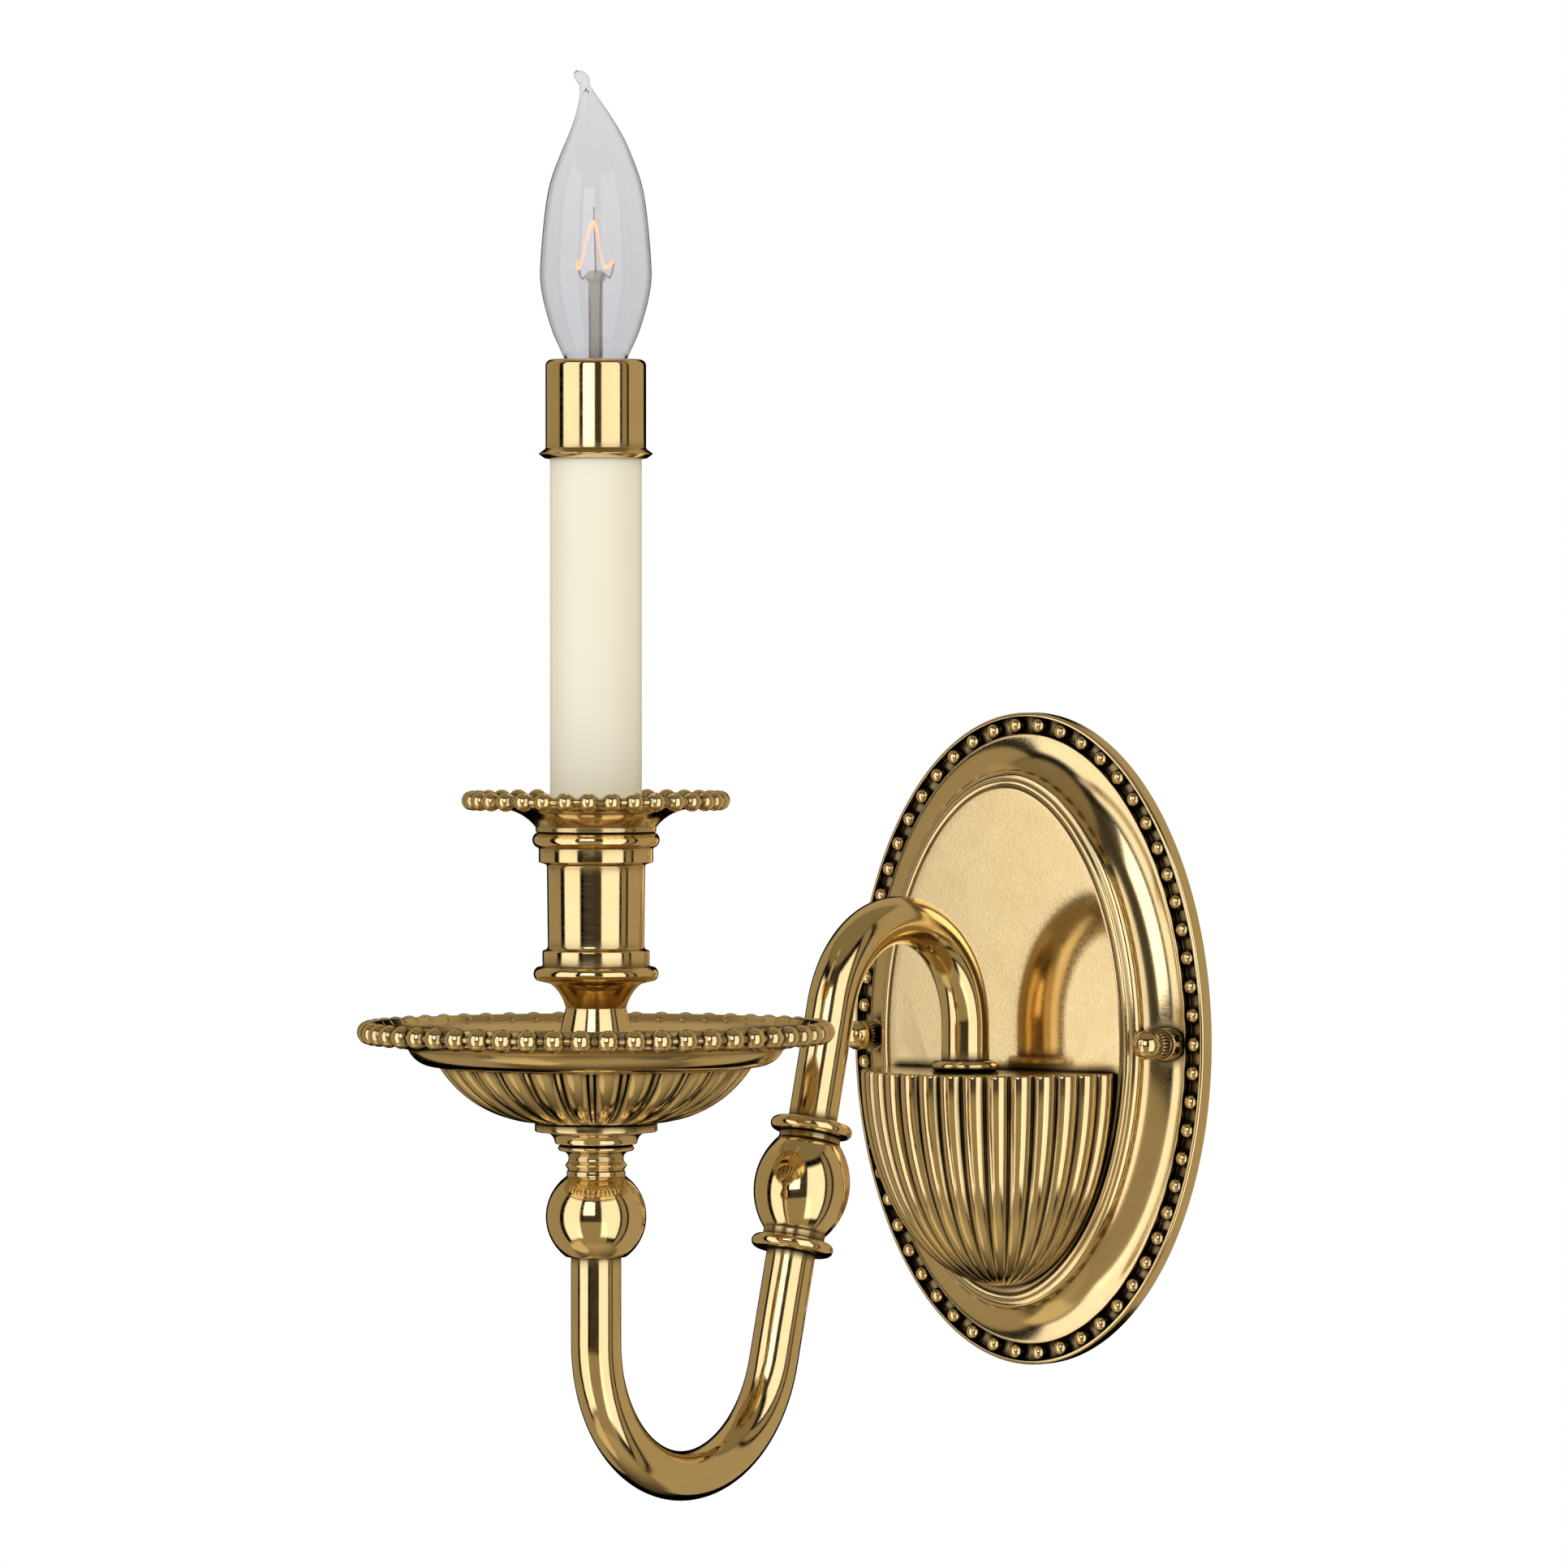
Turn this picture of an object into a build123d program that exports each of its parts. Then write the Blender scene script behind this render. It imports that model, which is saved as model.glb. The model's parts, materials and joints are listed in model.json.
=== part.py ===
"""Single-light wall sconce with a candle-style lamp holder, in millimetres.

Frame: the origin is the centre of the backplate on the wall plane. The wall is the plane
Y = 0, the sconce stands out along -Y and +Z is up. The arm lies in the plane X = 0.
"""
from build123d import *
from math import acos, cos, degrees, radians, sin
import os

os.makedirs("parts", exist_ok=True)

# ---- driving dimensions ----------------------------------------------------------------
extension = 247.6           # wall to the front of the drip pan
running_gap = 0.05          # radial clearance of a running fit
assembly_gap = 0.05         # radial clearance between assembled pieces

# backplate, an upright oval
plate_half_width = 60.3
plate_half_height = 89.4
rim_front = 4.3             # how far the bead border stands from the wall
field_front = 14.2          # how far the raised field stands from the wall
plate_wall = 1.2
plate_bead_radius = 2.05
plate_bead_inset = 3.4
plate_bead_count = 58
nut_spacing = 100.0
stud_radius = 2.08          # number 8 machine thread

# fluted half bowl on the plate
bowl_radius = 39.2
bowl_lid_z = -8.0
bowl_drop = 59.3
bowl_flute_count = 18

# arm, a bent brass tube
tube_radius = 6.5
tube_bore = 5.5
lower_bend_radius = 36.75
upper_bend_radius = 29.5
lower_bend_z = -72.7
run_lean = 14.6             # degrees from upright, towards the wall
run_length = 96.9
knop_at = 47.5              # centre of the knop along the leaning run

# candle column, heights of its joints from the bottom up
ball_z = -39.8
ball_radius = 13.0
ball_foot_z = -50.2
neck_z = -27.9
seat_z = -21.0
pan_z = -15.5
pan_rim_z = 7.9
cup_z = -13.6
sleeve_z = 50.9
cup_top_z = 59.6
bobeche_rim_z = 67.7
cap_z = 155.8
cap_top_z = 181.6

pan_bead_circle = 58.8
pan_bead_radius = 2.95
pan_bead_count = 54
pan_flute_count = 28
bobeche_bead_circle = 32.2
bobeche_bead_radius = 2.5
bobeche_bead_count = 34
sleeve_radius = 11.85
sleeve_bore = 10.7
sleeve_length = 127.0

# threaded lamp pipe, 1/8 size
pipe_radius = 4.76
pipe_bore = 3.3
pipe_clear = pipe_radius + assembly_gap

# lamp with a candelabra screw base
lamp_contact_z = 153.9
lamp_shell_z = 157.4
lamp_shell_radius = 5.9
lamp_collar_z = 172.6
lamp_waist_z = 206.5
lamp_waist_radius = 14.3
lamp_tip_z = 254.1
lamp_tip_radius = 1.9
lamp_tip_lean = 3.6
lamp_tip_heading = 219.2    # degrees from +X

lead_radius = 1.0
lead_offset = 1.35

candle_y = -(extension - pan_bead_circle - pan_bead_radius)

# ---- shared planes, axes and helpers ---------------------------------------------------
column_plane = Plane.XZ.offset(-candle_y)
column_axis = Axis((0, candle_y, 0), (0, 0, 1))
nut_x = nut_spacing / 2


def at_column(z):
    """A level plane on the candle's axis."""
    return Plane((0, candle_y, z))


def plate_profile_plane():
    """The section plane of the plate's border, on the +X side, outwards and forwards."""
    return Plane(origin=(plate_half_width, 0, 0), x_dir=(1, 0, 0), z_dir=(0, 0, -1))


def oval(inset, mode=Mode.ADD):
    """The plate's outline, drawn in."""
    return Ellipse(plate_half_width - inset, plate_half_height - inset, mode=mode)


# ---- arm path --------------------------------------------------------------------------
lean = radians(run_lean)
run_y = sin(lean)
run_z = cos(lean)
run_start_y = candle_y + lower_bend_radius * (1 + run_z)
run_start_z = lower_bend_z - lower_bend_radius * run_y
run_end_y = run_start_y + run_length * run_y
run_end_z = run_start_z + run_length * run_z
upper_bend_y = run_end_y + upper_bend_radius * run_z
upper_bend_z = run_end_z - upper_bend_radius * run_y
collar_y = upper_bend_y + upper_bend_radius
knop_half = 14.2            # half length of the barrel between its rings
knop_ring_half = 1.75
tube_entry = 6.0            # how far each tube goes into the knop
joint_half = knop_half + 2 * knop_ring_half + 0.6 - tube_entry


def run_plane(along):
    """A plane square to the leaning run, at a distance along it."""
    y = run_start_y + along * run_y
    z = run_start_z + along * run_z
    return Plane(origin=(0, y, z), x_dir=(1, 0, 0), z_dir=(0, run_y, run_z))


def lower_arm_path(x, from_z, to_run):
    """Down the candle's axis, round the lower bend and up the leaning run."""
    straight = Line((x, candle_y, from_z), (x, candle_y, lower_bend_z))
    centre = (x, candle_y + lower_bend_radius, lower_bend_z)
    bend_plane = Plane(origin=centre, x_dir=(0, 1, 0), z_dir=(1, 0, 0))
    end = (x, run_start_y, run_start_z)
    lowest = bend_plane.from_local_coords((0, -lower_bend_radius, 0))
    bend = ThreePointArc(straight @ 1, lowest, end)
    y = run_start_y + to_run * run_y
    z = run_start_z + to_run * run_z
    Line(bend @ 1, (x, y, z))


def upper_arm_path(x, from_run, to_z):
    """Up the leaning run, over the upper bend and down to the bowl."""
    y = run_start_y + from_run * run_y
    z = run_start_z + from_run * run_z
    straight = Line((x, y, z), (x, run_end_y, run_end_z))
    highest = (x, upper_bend_y, upper_bend_z + upper_bend_radius)
    bend = ThreePointArc(straight @ 1, highest, (x, collar_y, upper_bend_z))
    Line(bend @ 1, (x, collar_y, to_z))


def save(piece, name):
    """Label a finished piece and write it."""
    piece.part.label = name
    export_step(piece.part, f"parts/{name}.step")


# ---- wall side -------------------------------------------------------------------------
strap_length = 106.0
strap_width = 19.0
strap_thickness = 1.6
slot_spacing = 72.0         # takes the ear screws of a round box, 70 apart
slot_radius = 2.3
slot_length = 14.0
ground_x = 17.0
ground_radius = 2.4
strap_hole_radius = 5.2

with BuildPart() as mounting_strap:
    with BuildSketch(Plane.XZ):
        RectangleRounded(strap_length, strap_width, 6)
        Circle(strap_hole_radius, mode=Mode.SUBTRACT)
        with GridLocations(nut_spacing, 0, 2, 1):
            Circle(stud_radius + assembly_gap, mode=Mode.SUBTRACT)
        with GridLocations(slot_spacing, 0, 2, 1):
            SlotOverall(slot_length, 2 * slot_radius, mode=Mode.SUBTRACT)
        with Locations((ground_x, 0)):
            Circle(ground_radius + assembly_gap, mode=Mode.SUBTRACT)
    extrude(amount=strap_thickness)
save(mounting_strap, "mounting_strap")

stud_front = 15.4

with BuildPart() as canopy_studs:
    with BuildSketch(Plane.XZ):
        with GridLocations(nut_spacing, 0, 2, 1):
            Circle(stud_radius)
    extrude(amount=stud_front)
    chamfer(canopy_studs.edges().filter_by(GeomType.CIRCLE), 0.4)
save(canopy_studs, "canopy_studs")

with BuildPart() as ground_screw:
    with Locations(Plane.XZ):
        with Locations((ground_x, 0, 0)):
            Cylinder(ground_radius, 4.6, align=(Align.CENTER, Align.CENTER, Align.MIN))
    with BuildSketch(Plane.XZ.offset(strap_thickness)):
        with Locations((ground_x, 0)):
            Circle(4.9)
    extrude(amount=0.9)
    with BuildSketch(Plane.XZ.offset(strap_thickness + 0.9)):
        with Locations((ground_x, 0)):
            RegularPolygon(3.6, 6)
    extrude(amount=2.6)
save(ground_screw, "ground_screw")

# ---- backplate -------------------------------------------------------------------------
groove_outer = 1.0
groove_inner = 5.8
groove_front = 2.9
foot_inset = 0.1            # flat foot that lies on the wall
foot_width = 1.8
foot_top = 1.4
rim_back = 0.8
lip_inner = 6.6
lip_front = 4.5
cove_inner = 15.6
cove_front = 9.8
ridge_middle = 17.9
ridge_inner = 20.0
field_back = field_front - plate_wall
stud_seat_front = 9.0
field_wire_z = -34.0
field_wire_radius = 4.5
boss_x = 25.0
boss_z = -14.0

with BuildPart() as backplate:
    with BuildSketch(plate_profile_plane()):
        with BuildLine():
            Line((0, rim_back), (0, rim_front - 0.8))
            ThreePointArc((0, rim_front - 0.8), (-0.25, rim_front - 0.25), (-0.8, rim_front))
            Polyline(
                (-0.8, rim_front),
                (-groove_outer, rim_front),
                (-groove_outer, groove_front),
                (-groove_inner, groove_front),
                (-groove_inner, lip_front),
                (-lip_inner, lip_front),
            )
            ThreePointArc((-lip_inner, lip_front), (-11.5, 6.3), (-cove_inner, cove_front))
            Line((-cove_inner, cove_front), (-cove_inner, 11.2))
            ThreePointArc((-cove_inner, 11.2), (-16.2, 12.7), (-ridge_middle, 13.3))
            ThreePointArc((-ridge_middle, 13.3), (-18.7, 14.1), (-ridge_inner, 13.7))
            Polyline(
                (-ridge_inner, 13.7),
                (-ridge_inner - 0.5, field_front),
                (-ridge_inner - 3, field_front),
                (-ridge_inner - 3, field_back),
                (-ridge_inner, field_back),
                (-cove_inner - 2.2, field_back - 2.4),
                (-cove_inner + 0.2, cove_front - 1.6),
                (-11.0, 4.7),
                (-lip_inner - 0.4, lip_front - 1.4),
                (-lip_inner - 0.1, groove_front - 1.0),
                (-plate_wall, groove_front - 1.0),
                (-plate_wall, rim_back),
                (0, rim_back),
            )
        make_face()
    sweep(path=Edge.make_ellipse(plate_half_width, plate_half_height, Plane.XZ))
    with BuildSketch(Plane.XZ):
        oval(foot_inset)
        oval(foot_inset + foot_width, Mode.SUBTRACT)
    extrude(amount=foot_top)
    with BuildSketch(Plane.XZ.offset(field_back)):
        oval(ridge_inner + 1)
    extrude(amount=plate_wall)
    with BuildSketch(Plane.XZ.offset(6.0)):
        with GridLocations(nut_spacing, 0, 2, 1):
            Circle(3.6)
    extrude(amount=stud_seat_front - 6.0)
    with BuildSketch(Plane.XZ):
        with GridLocations(nut_spacing, 0, 2, 1):
            Circle(stud_radius + 0.4)
        with Locations((0, field_wire_z)):
            Circle(field_wire_radius)
        with Locations((-boss_x, boss_z), (boss_x, boss_z)):
            Circle(1.8)
    extrude(amount=field_front + 1, mode=Mode.SUBTRACT)
    bead_path = Edge.make_ellipse(
        plate_half_width - plate_bead_inset,
        plate_half_height - plate_bead_inset,
        Plane.XZ.offset(groove_front + 0.5),
    )
    bead_places = [bead_path @ (i / plate_bead_count) for i in range(plate_bead_count)]
    with Locations(bead_places):
        Sphere(plate_bead_radius)
save(backplate, "backplate")

# ---- ball nuts and their washers -------------------------------------------------------
washer_front = stud_seat_front + 0.8
knurl_front = 13.4
nut_ball_front = 15.5
nut_ball_radius = 4.0
knurl_radius = 3.9
knurl_count = 24
nut_bore = stud_radius + running_gap


def nut_axis(side):
    """The line of a canopy stud, pointing away from the wall."""
    return Axis((side * nut_x, 0, 0), (0, -1, 0))


def nut_plane(side):
    """A section plane through a canopy stud: across, then away from the wall."""
    return Plane(origin=(side * nut_x, 0, 0), x_dir=(1, 0, 0), z_dir=(0, 0, -1))


for side, hand in ((-1, "left"), (1, "right")):
    with BuildPart() as nut_washer:
        with BuildSketch(nut_plane(side)):
            with Locations((nut_bore + 0.1, stud_seat_front)):
                Rectangle(1.6, 0.8, align=(Align.MIN, Align.MIN))
        revolve(axis=nut_axis(side))
    save(nut_washer, f"nut_washer_{hand}")

    with BuildPart() as ball_nut:
        with BuildSketch(nut_plane(side)):
            with Locations((0, washer_front)):
                Rectangle(knurl_radius, knurl_front - washer_front, align=(Align.MIN, Align.MIN))
            with Locations((0, nut_ball_front)):
                Circle(nut_ball_radius)
            with Locations((-nut_ball_radius, 0)):
                Rectangle(nut_ball_radius, 30, align=(Align.MIN, Align.MIN), mode=Mode.SUBTRACT)
            with Locations((0, 0)):
                Rectangle(nut_bore, 16.8, align=(Align.MIN, Align.MIN), mode=Mode.SUBTRACT)
        revolve(axis=nut_axis(side))
        with BuildSketch(Plane(origin=(side * nut_x, -washer_front, 0), z_dir=(0, -1, 0))):
            with PolarLocations(knurl_radius, knurl_count):
                Circle(0.28)
        extrude(amount=2.6, mode=Mode.SUBTRACT)
    save(ball_nut, f"ball_nut_{hand}")

# ---- half bowl -------------------------------------------------------------------------
bowl_wall = 1.6
flute_radius = 0.9
boss_size = 8.0

bowl_plane = Plane(origin=(0, -field_front, bowl_lid_z), x_dir=(1, 0, 0), z_dir=(0, -1, 0))
bowl_axis = Axis((0, -field_front, 0), (0, 0, 1))

with BuildPart() as wall_bowl:
    with BuildSketch(bowl_plane):
        Ellipse(bowl_radius, bowl_drop)
        Ellipse(bowl_radius - bowl_wall, bowl_drop - bowl_wall, mode=Mode.SUBTRACT)
        Rectangle(bowl_radius, bowl_wall, align=(Align.MIN, Align.MAX))
        with BuildLine():
            Line((0, 0), (bowl_radius, 0))
            EllipticalCenterArc((0, 0), bowl_radius, bowl_drop, 0, arc_size=-90)
            Line((0, -bowl_drop), (0, 0))
        make_face(mode=Mode.INTERSECT)
    revolve(axis=bowl_axis)
    split(bisect_by=Plane.XZ.offset(field_front), keep=Keep.TOP)
    for i in range(1, bowl_flute_count):
        turn = radians(180 * i / bowl_flute_count)
        meridian = Plane(
            origin=(0, -field_front, bowl_lid_z),
            x_dir=(cos(turn), -sin(turn), 0),
            z_dir=(-sin(turn), -cos(turn), 0),
        )
        groove_line = Edge.make_ellipse(
            bowl_radius + 0.35, bowl_drop + 0.35, meridian, start_angle=285, end_angle=360
        )
        with BuildSketch(Plane(groove_line @ 1, z_dir=groove_line % 1)):
            Circle(flute_radius)
        sweep(path=groove_line, mode=Mode.SUBTRACT)
    with Locations(Plane((0, collar_y, bowl_lid_z))):
        Hole(pipe_clear, depth=5)
    for side in (-1, 1):
        with Locations((side * boss_x, -field_front, boss_z)):
            Box(
                boss_size,
                boss_size,
                2 * (bowl_lid_z - bowl_wall - boss_z) + 0.4,
                align=(Align.CENTER, Align.MAX, Align.CENTER),
            )
            Cylinder(1.3, 16, rotation=(90, 0, 0), mode=Mode.SUBTRACT)
save(wall_bowl, "wall_bowl")

with BuildPart() as bowl_screws:
    with Locations((-boss_x, -field_back, boss_z), (boss_x, -field_back, boss_z)):
        Cylinder(1.25, 8, rotation=(90, 0, 0), align=(Align.CENTER, Align.CENTER, Align.MIN))
        Cylinder(2.8, 1.8, rotation=(90, 0, 0), align=(Align.CENTER, Align.CENTER, Align.MAX))
        with Locations((0, 1.8, 0)):
            Box(4.4, 1.6, 0.9, mode=Mode.SUBTRACT)
save(bowl_screws, "bowl_screws")

# ---- arm -------------------------------------------------------------------------------
collar_ring_radius = 9.15
collar_ring_height = 3.1
pipe_in_tube = 9.0
pipe_thread_drop = 9.0
lock_nut_radius = 7.9
lock_nut_height = 3.2
tube_clear = tube_radius + assembly_gap
ball_socket_z = -44.0

with BuildPart() as arm_collar:
    with BuildSketch(Plane.XZ.offset(-collar_y)):
        with Locations((tube_clear, bowl_lid_z)):
            Rectangle(
                collar_ring_radius - tube_clear,
                collar_ring_height,
                align=(Align.MIN, Align.MIN),
            )
        fillet(vertices().sort_by(Axis.X)[-2:], collar_ring_height / 2 - 0.01)
    revolve(axis=Axis((0, collar_y, 0), (0, 0, 1)))
save(arm_collar, "arm_collar")

with BuildPart() as arm_upper:
    with BuildLine() as upper_line:
        upper_arm_path(0, knop_at + joint_half, bowl_lid_z)
    with BuildSketch(run_plane(knop_at + joint_half)):
        Circle(tube_radius)
        Circle(tube_bore, mode=Mode.SUBTRACT)
    sweep(path=upper_line.line)
save(arm_upper, "arm_upper")

with BuildPart() as arm_lower:
    with BuildLine() as lower_line:
        lower_arm_path(0, ball_socket_z, knop_at - joint_half)
    with BuildSketch(at_column(ball_socket_z)):
        Circle(tube_radius)
        Circle(tube_bore, mode=Mode.SUBTRACT)
    sweep(path=lower_line.line)
save(arm_lower, "arm_lower")

with BuildPart() as arm_pipe:
    with BuildSketch(Plane((0, collar_y, bowl_lid_z - pipe_thread_drop))):
        Circle(pipe_radius)
        Circle(pipe_bore, mode=Mode.SUBTRACT)
    extrude(amount=pipe_thread_drop + pipe_in_tube)
save(arm_pipe, "arm_pipe")

with BuildPart() as arm_lock_washer:
    with BuildSketch(Plane((0, collar_y, bowl_lid_z - bowl_wall))):
        Circle(7.2)
        Circle(pipe_clear, mode=Mode.SUBTRACT)
    extrude(amount=-1.0)
save(arm_lock_washer, "arm_lock_washer")

with BuildPart() as arm_lock_nut:
    with BuildSketch(Plane((0, collar_y, bowl_lid_z - bowl_wall - 1.0))):
        RegularPolygon(lock_nut_radius, 6)
        Circle(pipe_clear, mode=Mode.SUBTRACT)
    extrude(amount=-lock_nut_height)
save(arm_lock_nut, "arm_lock_nut")

# ---- knop on the leaning run -----------------------------------------------------------
knop_radius = 12.75
knop_end_radius = 8.2
knop_ring_radius = 10.95
knop_belly = knop_half - 1.8
knop_turn = degrees(acos(knop_end_radius / knop_radius))
knop_long_radius = knop_belly / sin(radians(knop_turn))
knop_section = Plane(
    origin=run_plane(knop_at).origin, x_dir=(1, 0, 0), z_dir=(0, -run_z, run_y)
)
knop_axis = Axis(run_plane(knop_at).origin, (0, run_y, run_z))

with BuildPart() as knop_barrel:
    with BuildSketch(knop_section):
        with BuildLine():
            Line((tube_clear, -knop_half), (knop_end_radius, -knop_half))
            Line((knop_end_radius, -knop_half), (knop_end_radius, -knop_belly))
            EllipticalCenterArc(
                (0, 0), knop_radius, knop_long_radius, -knop_turn, arc_size=2 * knop_turn
            )
            Polyline(
                (knop_end_radius, knop_belly),
                (knop_end_radius, knop_half),
                (tube_clear, knop_half),
                (tube_clear, -knop_half),
            )
        make_face()
    revolve(axis=knop_axis)
save(knop_barrel, "knop_barrel")

with BuildPart() as knop_rings:
    for end in (-1, 1):
        with BuildSketch(knop_section):
            with Locations((tube_clear, end * (knop_half + knop_ring_half + 0.02))):
                Rectangle(
                    knop_ring_radius - tube_clear,
                    2 * knop_ring_half,
                    align=(Align.MIN, Align.CENTER),
                )
            fillet(vertices().sort_by(Axis.X)[-2:], knop_ring_half - 0.01)
        revolve(axis=knop_axis)
save(knop_rings, "knop_rings")

with BuildPart() as knop_coupler:
    with BuildSketch(run_plane(knop_at - joint_half - 9)):
        Circle(tube_bore - assembly_gap)
        Circle(tube_bore - 1.5, mode=Mode.SUBTRACT)
    extrude(amount=2 * joint_half + 18)
save(knop_coupler, "knop_coupler")

# ---- candle column, turned pieces from the bottom up -----------------------------------
seat_thickness = 2.6
seat_radius = 15.7
cup_body_z = 29.4
cup_bore = sleeve_radius + 0.1
cup_floor_z = sleeve_z - running_gap

with BuildPart() as arm_ball:
    with BuildSketch(column_plane):
        with BuildLine():
            Polyline((tube_clear, ball_foot_z), (7.8, ball_foot_z))
            ThreePointArc((7.8, ball_foot_z), (ball_radius, ball_z), (7.6, ball_z + 10.55))
            Polyline(
                (7.6, ball_z + 10.55),
                (7.6, neck_z),
                (pipe_clear, neck_z),
                (pipe_clear, ball_socket_z + assembly_gap),
                (tube_clear, ball_socket_z + assembly_gap),
                (tube_clear, ball_foot_z),
            )
        make_face()
    revolve(axis=column_axis)
save(arm_ball, "arm_ball")

with BuildPart() as neck:
    with BuildSketch(column_plane):
        with BuildLine():
            Polyline(
                (pipe_clear, neck_z),
                (7.6, neck_z),
                (7.95, neck_z + 0.4),
                (7.95, neck_z + 1.2),
                (7.15, neck_z + 1.6),
                (7.15, -23.4),
                (9.4, -23.1),
                (9.95, -22.6),
                (9.95, -21.7),
                (9.4, seat_z - 0.1),
                (9.4, seat_z),
                (pipe_clear, seat_z),
                (pipe_clear, neck_z),
            )
        make_face()
    revolve(axis=column_axis)
save(neck, "neck")

with BuildPart() as pan_seat:
    with BuildSketch(column_plane):
        with BuildLine():
            Polyline((pipe_clear, seat_z), (10.8, seat_z), (10.8, seat_z + 0.5))
            ThreePointArc((10.8, seat_z + 0.5), (11.3, seat_z + 1.8), (12.6, seat_z + 2.6))
            Polyline(
                (12.6, seat_z + 2.6),
                (seat_radius - 0.4, pan_z - seat_thickness),
                (seat_radius, pan_z - seat_thickness + 0.4),
                (seat_radius, pan_z - 0.4),
                (seat_radius - 0.4, pan_z),
                (pipe_clear, pan_z),
                (pipe_clear, seat_z),
            )
        make_face()
    revolve(axis=column_axis)
save(pan_seat, "pan_seat")

pan_floor_radius = 15.3
pan_flute_top_radius = 40.5
pan_flute_top_z = -1.1

with BuildPart() as drip_pan:
    with BuildSketch(column_plane):
        with BuildLine():
            Line((pipe_clear, pan_z), (pan_floor_radius, pan_z))
            ThreePointArc(
                (pan_floor_radius, pan_z), (31.0, -10.6), (pan_flute_top_radius, pan_flute_top_z)
            )
            Line((pan_flute_top_radius, pan_flute_top_z), (41.2, -0.8))
            ThreePointArc((41.2, -0.8), (46.6, 0.9), (48.6, 3.6))
            Polyline(
                (48.6, 3.6),
                (56.4, 5.4),
                (58.6, 5.9),
                (58.9, 8.6),
                (57.4, 9.4),
                (56.2, 9.0),
                (49.5, 6.2),
            )
            ThreePointArc((49.5, 6.2), (45.0, 3.2), (39.6, 1.6))
            ThreePointArc((39.6, 1.6), (30.4, -8.4), (15.6, cup_z))
            Polyline((15.6, cup_z), (pipe_clear, cup_z), (pipe_clear, pan_z))
        make_face()
    revolve(axis=column_axis)
    flute_meridian = Edge.make_three_point_arc(
        (pan_floor_radius + 4.5, candle_y, pan_z + 1.0),
        (31.2, candle_y, -10.8),
        (pan_flute_top_radius + 0.1, candle_y, pan_flute_top_z - 0.7),
    )
    with BuildSketch(Plane(flute_meridian @ 0, z_dir=flute_meridian % 0)):
        Circle(0.8)
    flute_cutter = sweep(path=flute_meridian, mode=Mode.PRIVATE)
    for i in range(pan_flute_count):
        turned = flute_cutter.rotate(column_axis, 360 * (i + 0.5) / pan_flute_count)
        add(turned, mode=Mode.SUBTRACT)
    with Locations((0, candle_y, pan_rim_z)):
        with PolarLocations(pan_bead_circle, pan_bead_count):
            Sphere(pan_bead_radius)
save(drip_pan, "drip_pan")

with BuildPart() as candle_cup:
    with BuildSketch(column_plane):
        with BuildLine():
            Line((pipe_clear, cup_z), (13.0, cup_z))
            Line((13.0, cup_z), (13.0, cup_z + 2.0))
            ThreePointArc((13.0, cup_z + 2.0), (10.2, 4.0), (7.85, 14.1))
            ThreePointArc((7.85, 14.1), (8.6, 16.4), (11.75, 20.4))
            Polyline((11.75, 20.4), (13.4, 20.8), (15.2, 21.2))
            ThreePointArc((15.2, 21.2), (16.15, 23.0), (15.2, 24.7))
            Polyline(
                (15.2, 24.7),
                (13.85, 25.0),
                (13.85, 28.9),
                (12.7, cup_body_z),
                (12.45, cup_body_z + 0.6),
                (12.7, 50.7),
                (12.9, 51.2),
                (14.8, 51.8),
                (14.8, 55.4),
                (15.4, 55.7),
            )
            ThreePointArc((15.4, 55.7), (16.45, 57.6), (15.4, cup_top_z - 0.2))
            Polyline(
                (15.4, cup_top_z - 0.2),
                (15.1, cup_top_z),
                (cup_bore, cup_top_z),
                (cup_bore, cup_floor_z),
                (pipe_clear, cup_floor_z),
                (pipe_clear, cup_z),
            )
        make_face()
    revolve(axis=column_axis)
save(candle_cup, "candle_cup")

with BuildPart() as bobeche:
    with BuildSketch(column_plane):
        with BuildLine():
            Line((cup_bore, cup_top_z), (15.6, cup_top_z))
            Line((15.6, cup_top_z), (15.6, cup_top_z + 1.2))
            ThreePointArc((15.6, cup_top_z + 1.2), (18.6, 63.6), (25.2, 65.6))
            Polyline(
                (25.2, 65.6),
                (31.6, 66.3),
                (32.4, 67.0),
                (32.4, 68.2),
                (31.4, 68.9),
                (29.5, 68.3),
            )
            ThreePointArc((29.5, 68.3), (20.5, 66.3), (14.6, 63.0))
            Polyline((14.6, 63.0), (cup_bore, 62.0), (cup_bore, cup_top_z))
        make_face()
    revolve(axis=column_axis)
    with Locations((0, candle_y, bobeche_rim_z)):
        with PolarLocations(bobeche_bead_circle, bobeche_bead_count):
            Sphere(bobeche_bead_radius)
save(bobeche, "bobeche")

# ---- clamping pipe, nuts and lamp holder -----------------------------------------------
pipe_top_z = 60.4
nut_height = 3.2
bracket_thickness = 1.2
bracket_base_z = cup_floor_z + nut_height
bracket_nut_z = bracket_base_z + bracket_thickness
holder_z = 147.0
holder_top_z = 176.5
holder_radius = 9.6
shell_bore = lamp_shell_radius + 0.06
shell_radius = 6.5
bracket_leg_y = candle_y + 8.2

with BuildPart() as column_pipe:
    with BuildSketch(at_column(ball_socket_z + 0.5)):
        Circle(pipe_radius)
        Circle(pipe_bore, mode=Mode.SUBTRACT)
    extrude(amount=pipe_top_z - ball_socket_z - 0.5)
save(column_pipe, "column_pipe")

with BuildPart() as column_lock_nut:
    with BuildSketch(at_column(cup_floor_z)):
        RegularPolygon(lock_nut_radius, 6)
        Circle(pipe_clear, mode=Mode.SUBTRACT)
    extrude(amount=nut_height)
save(column_lock_nut, "column_lock_nut")

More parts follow.
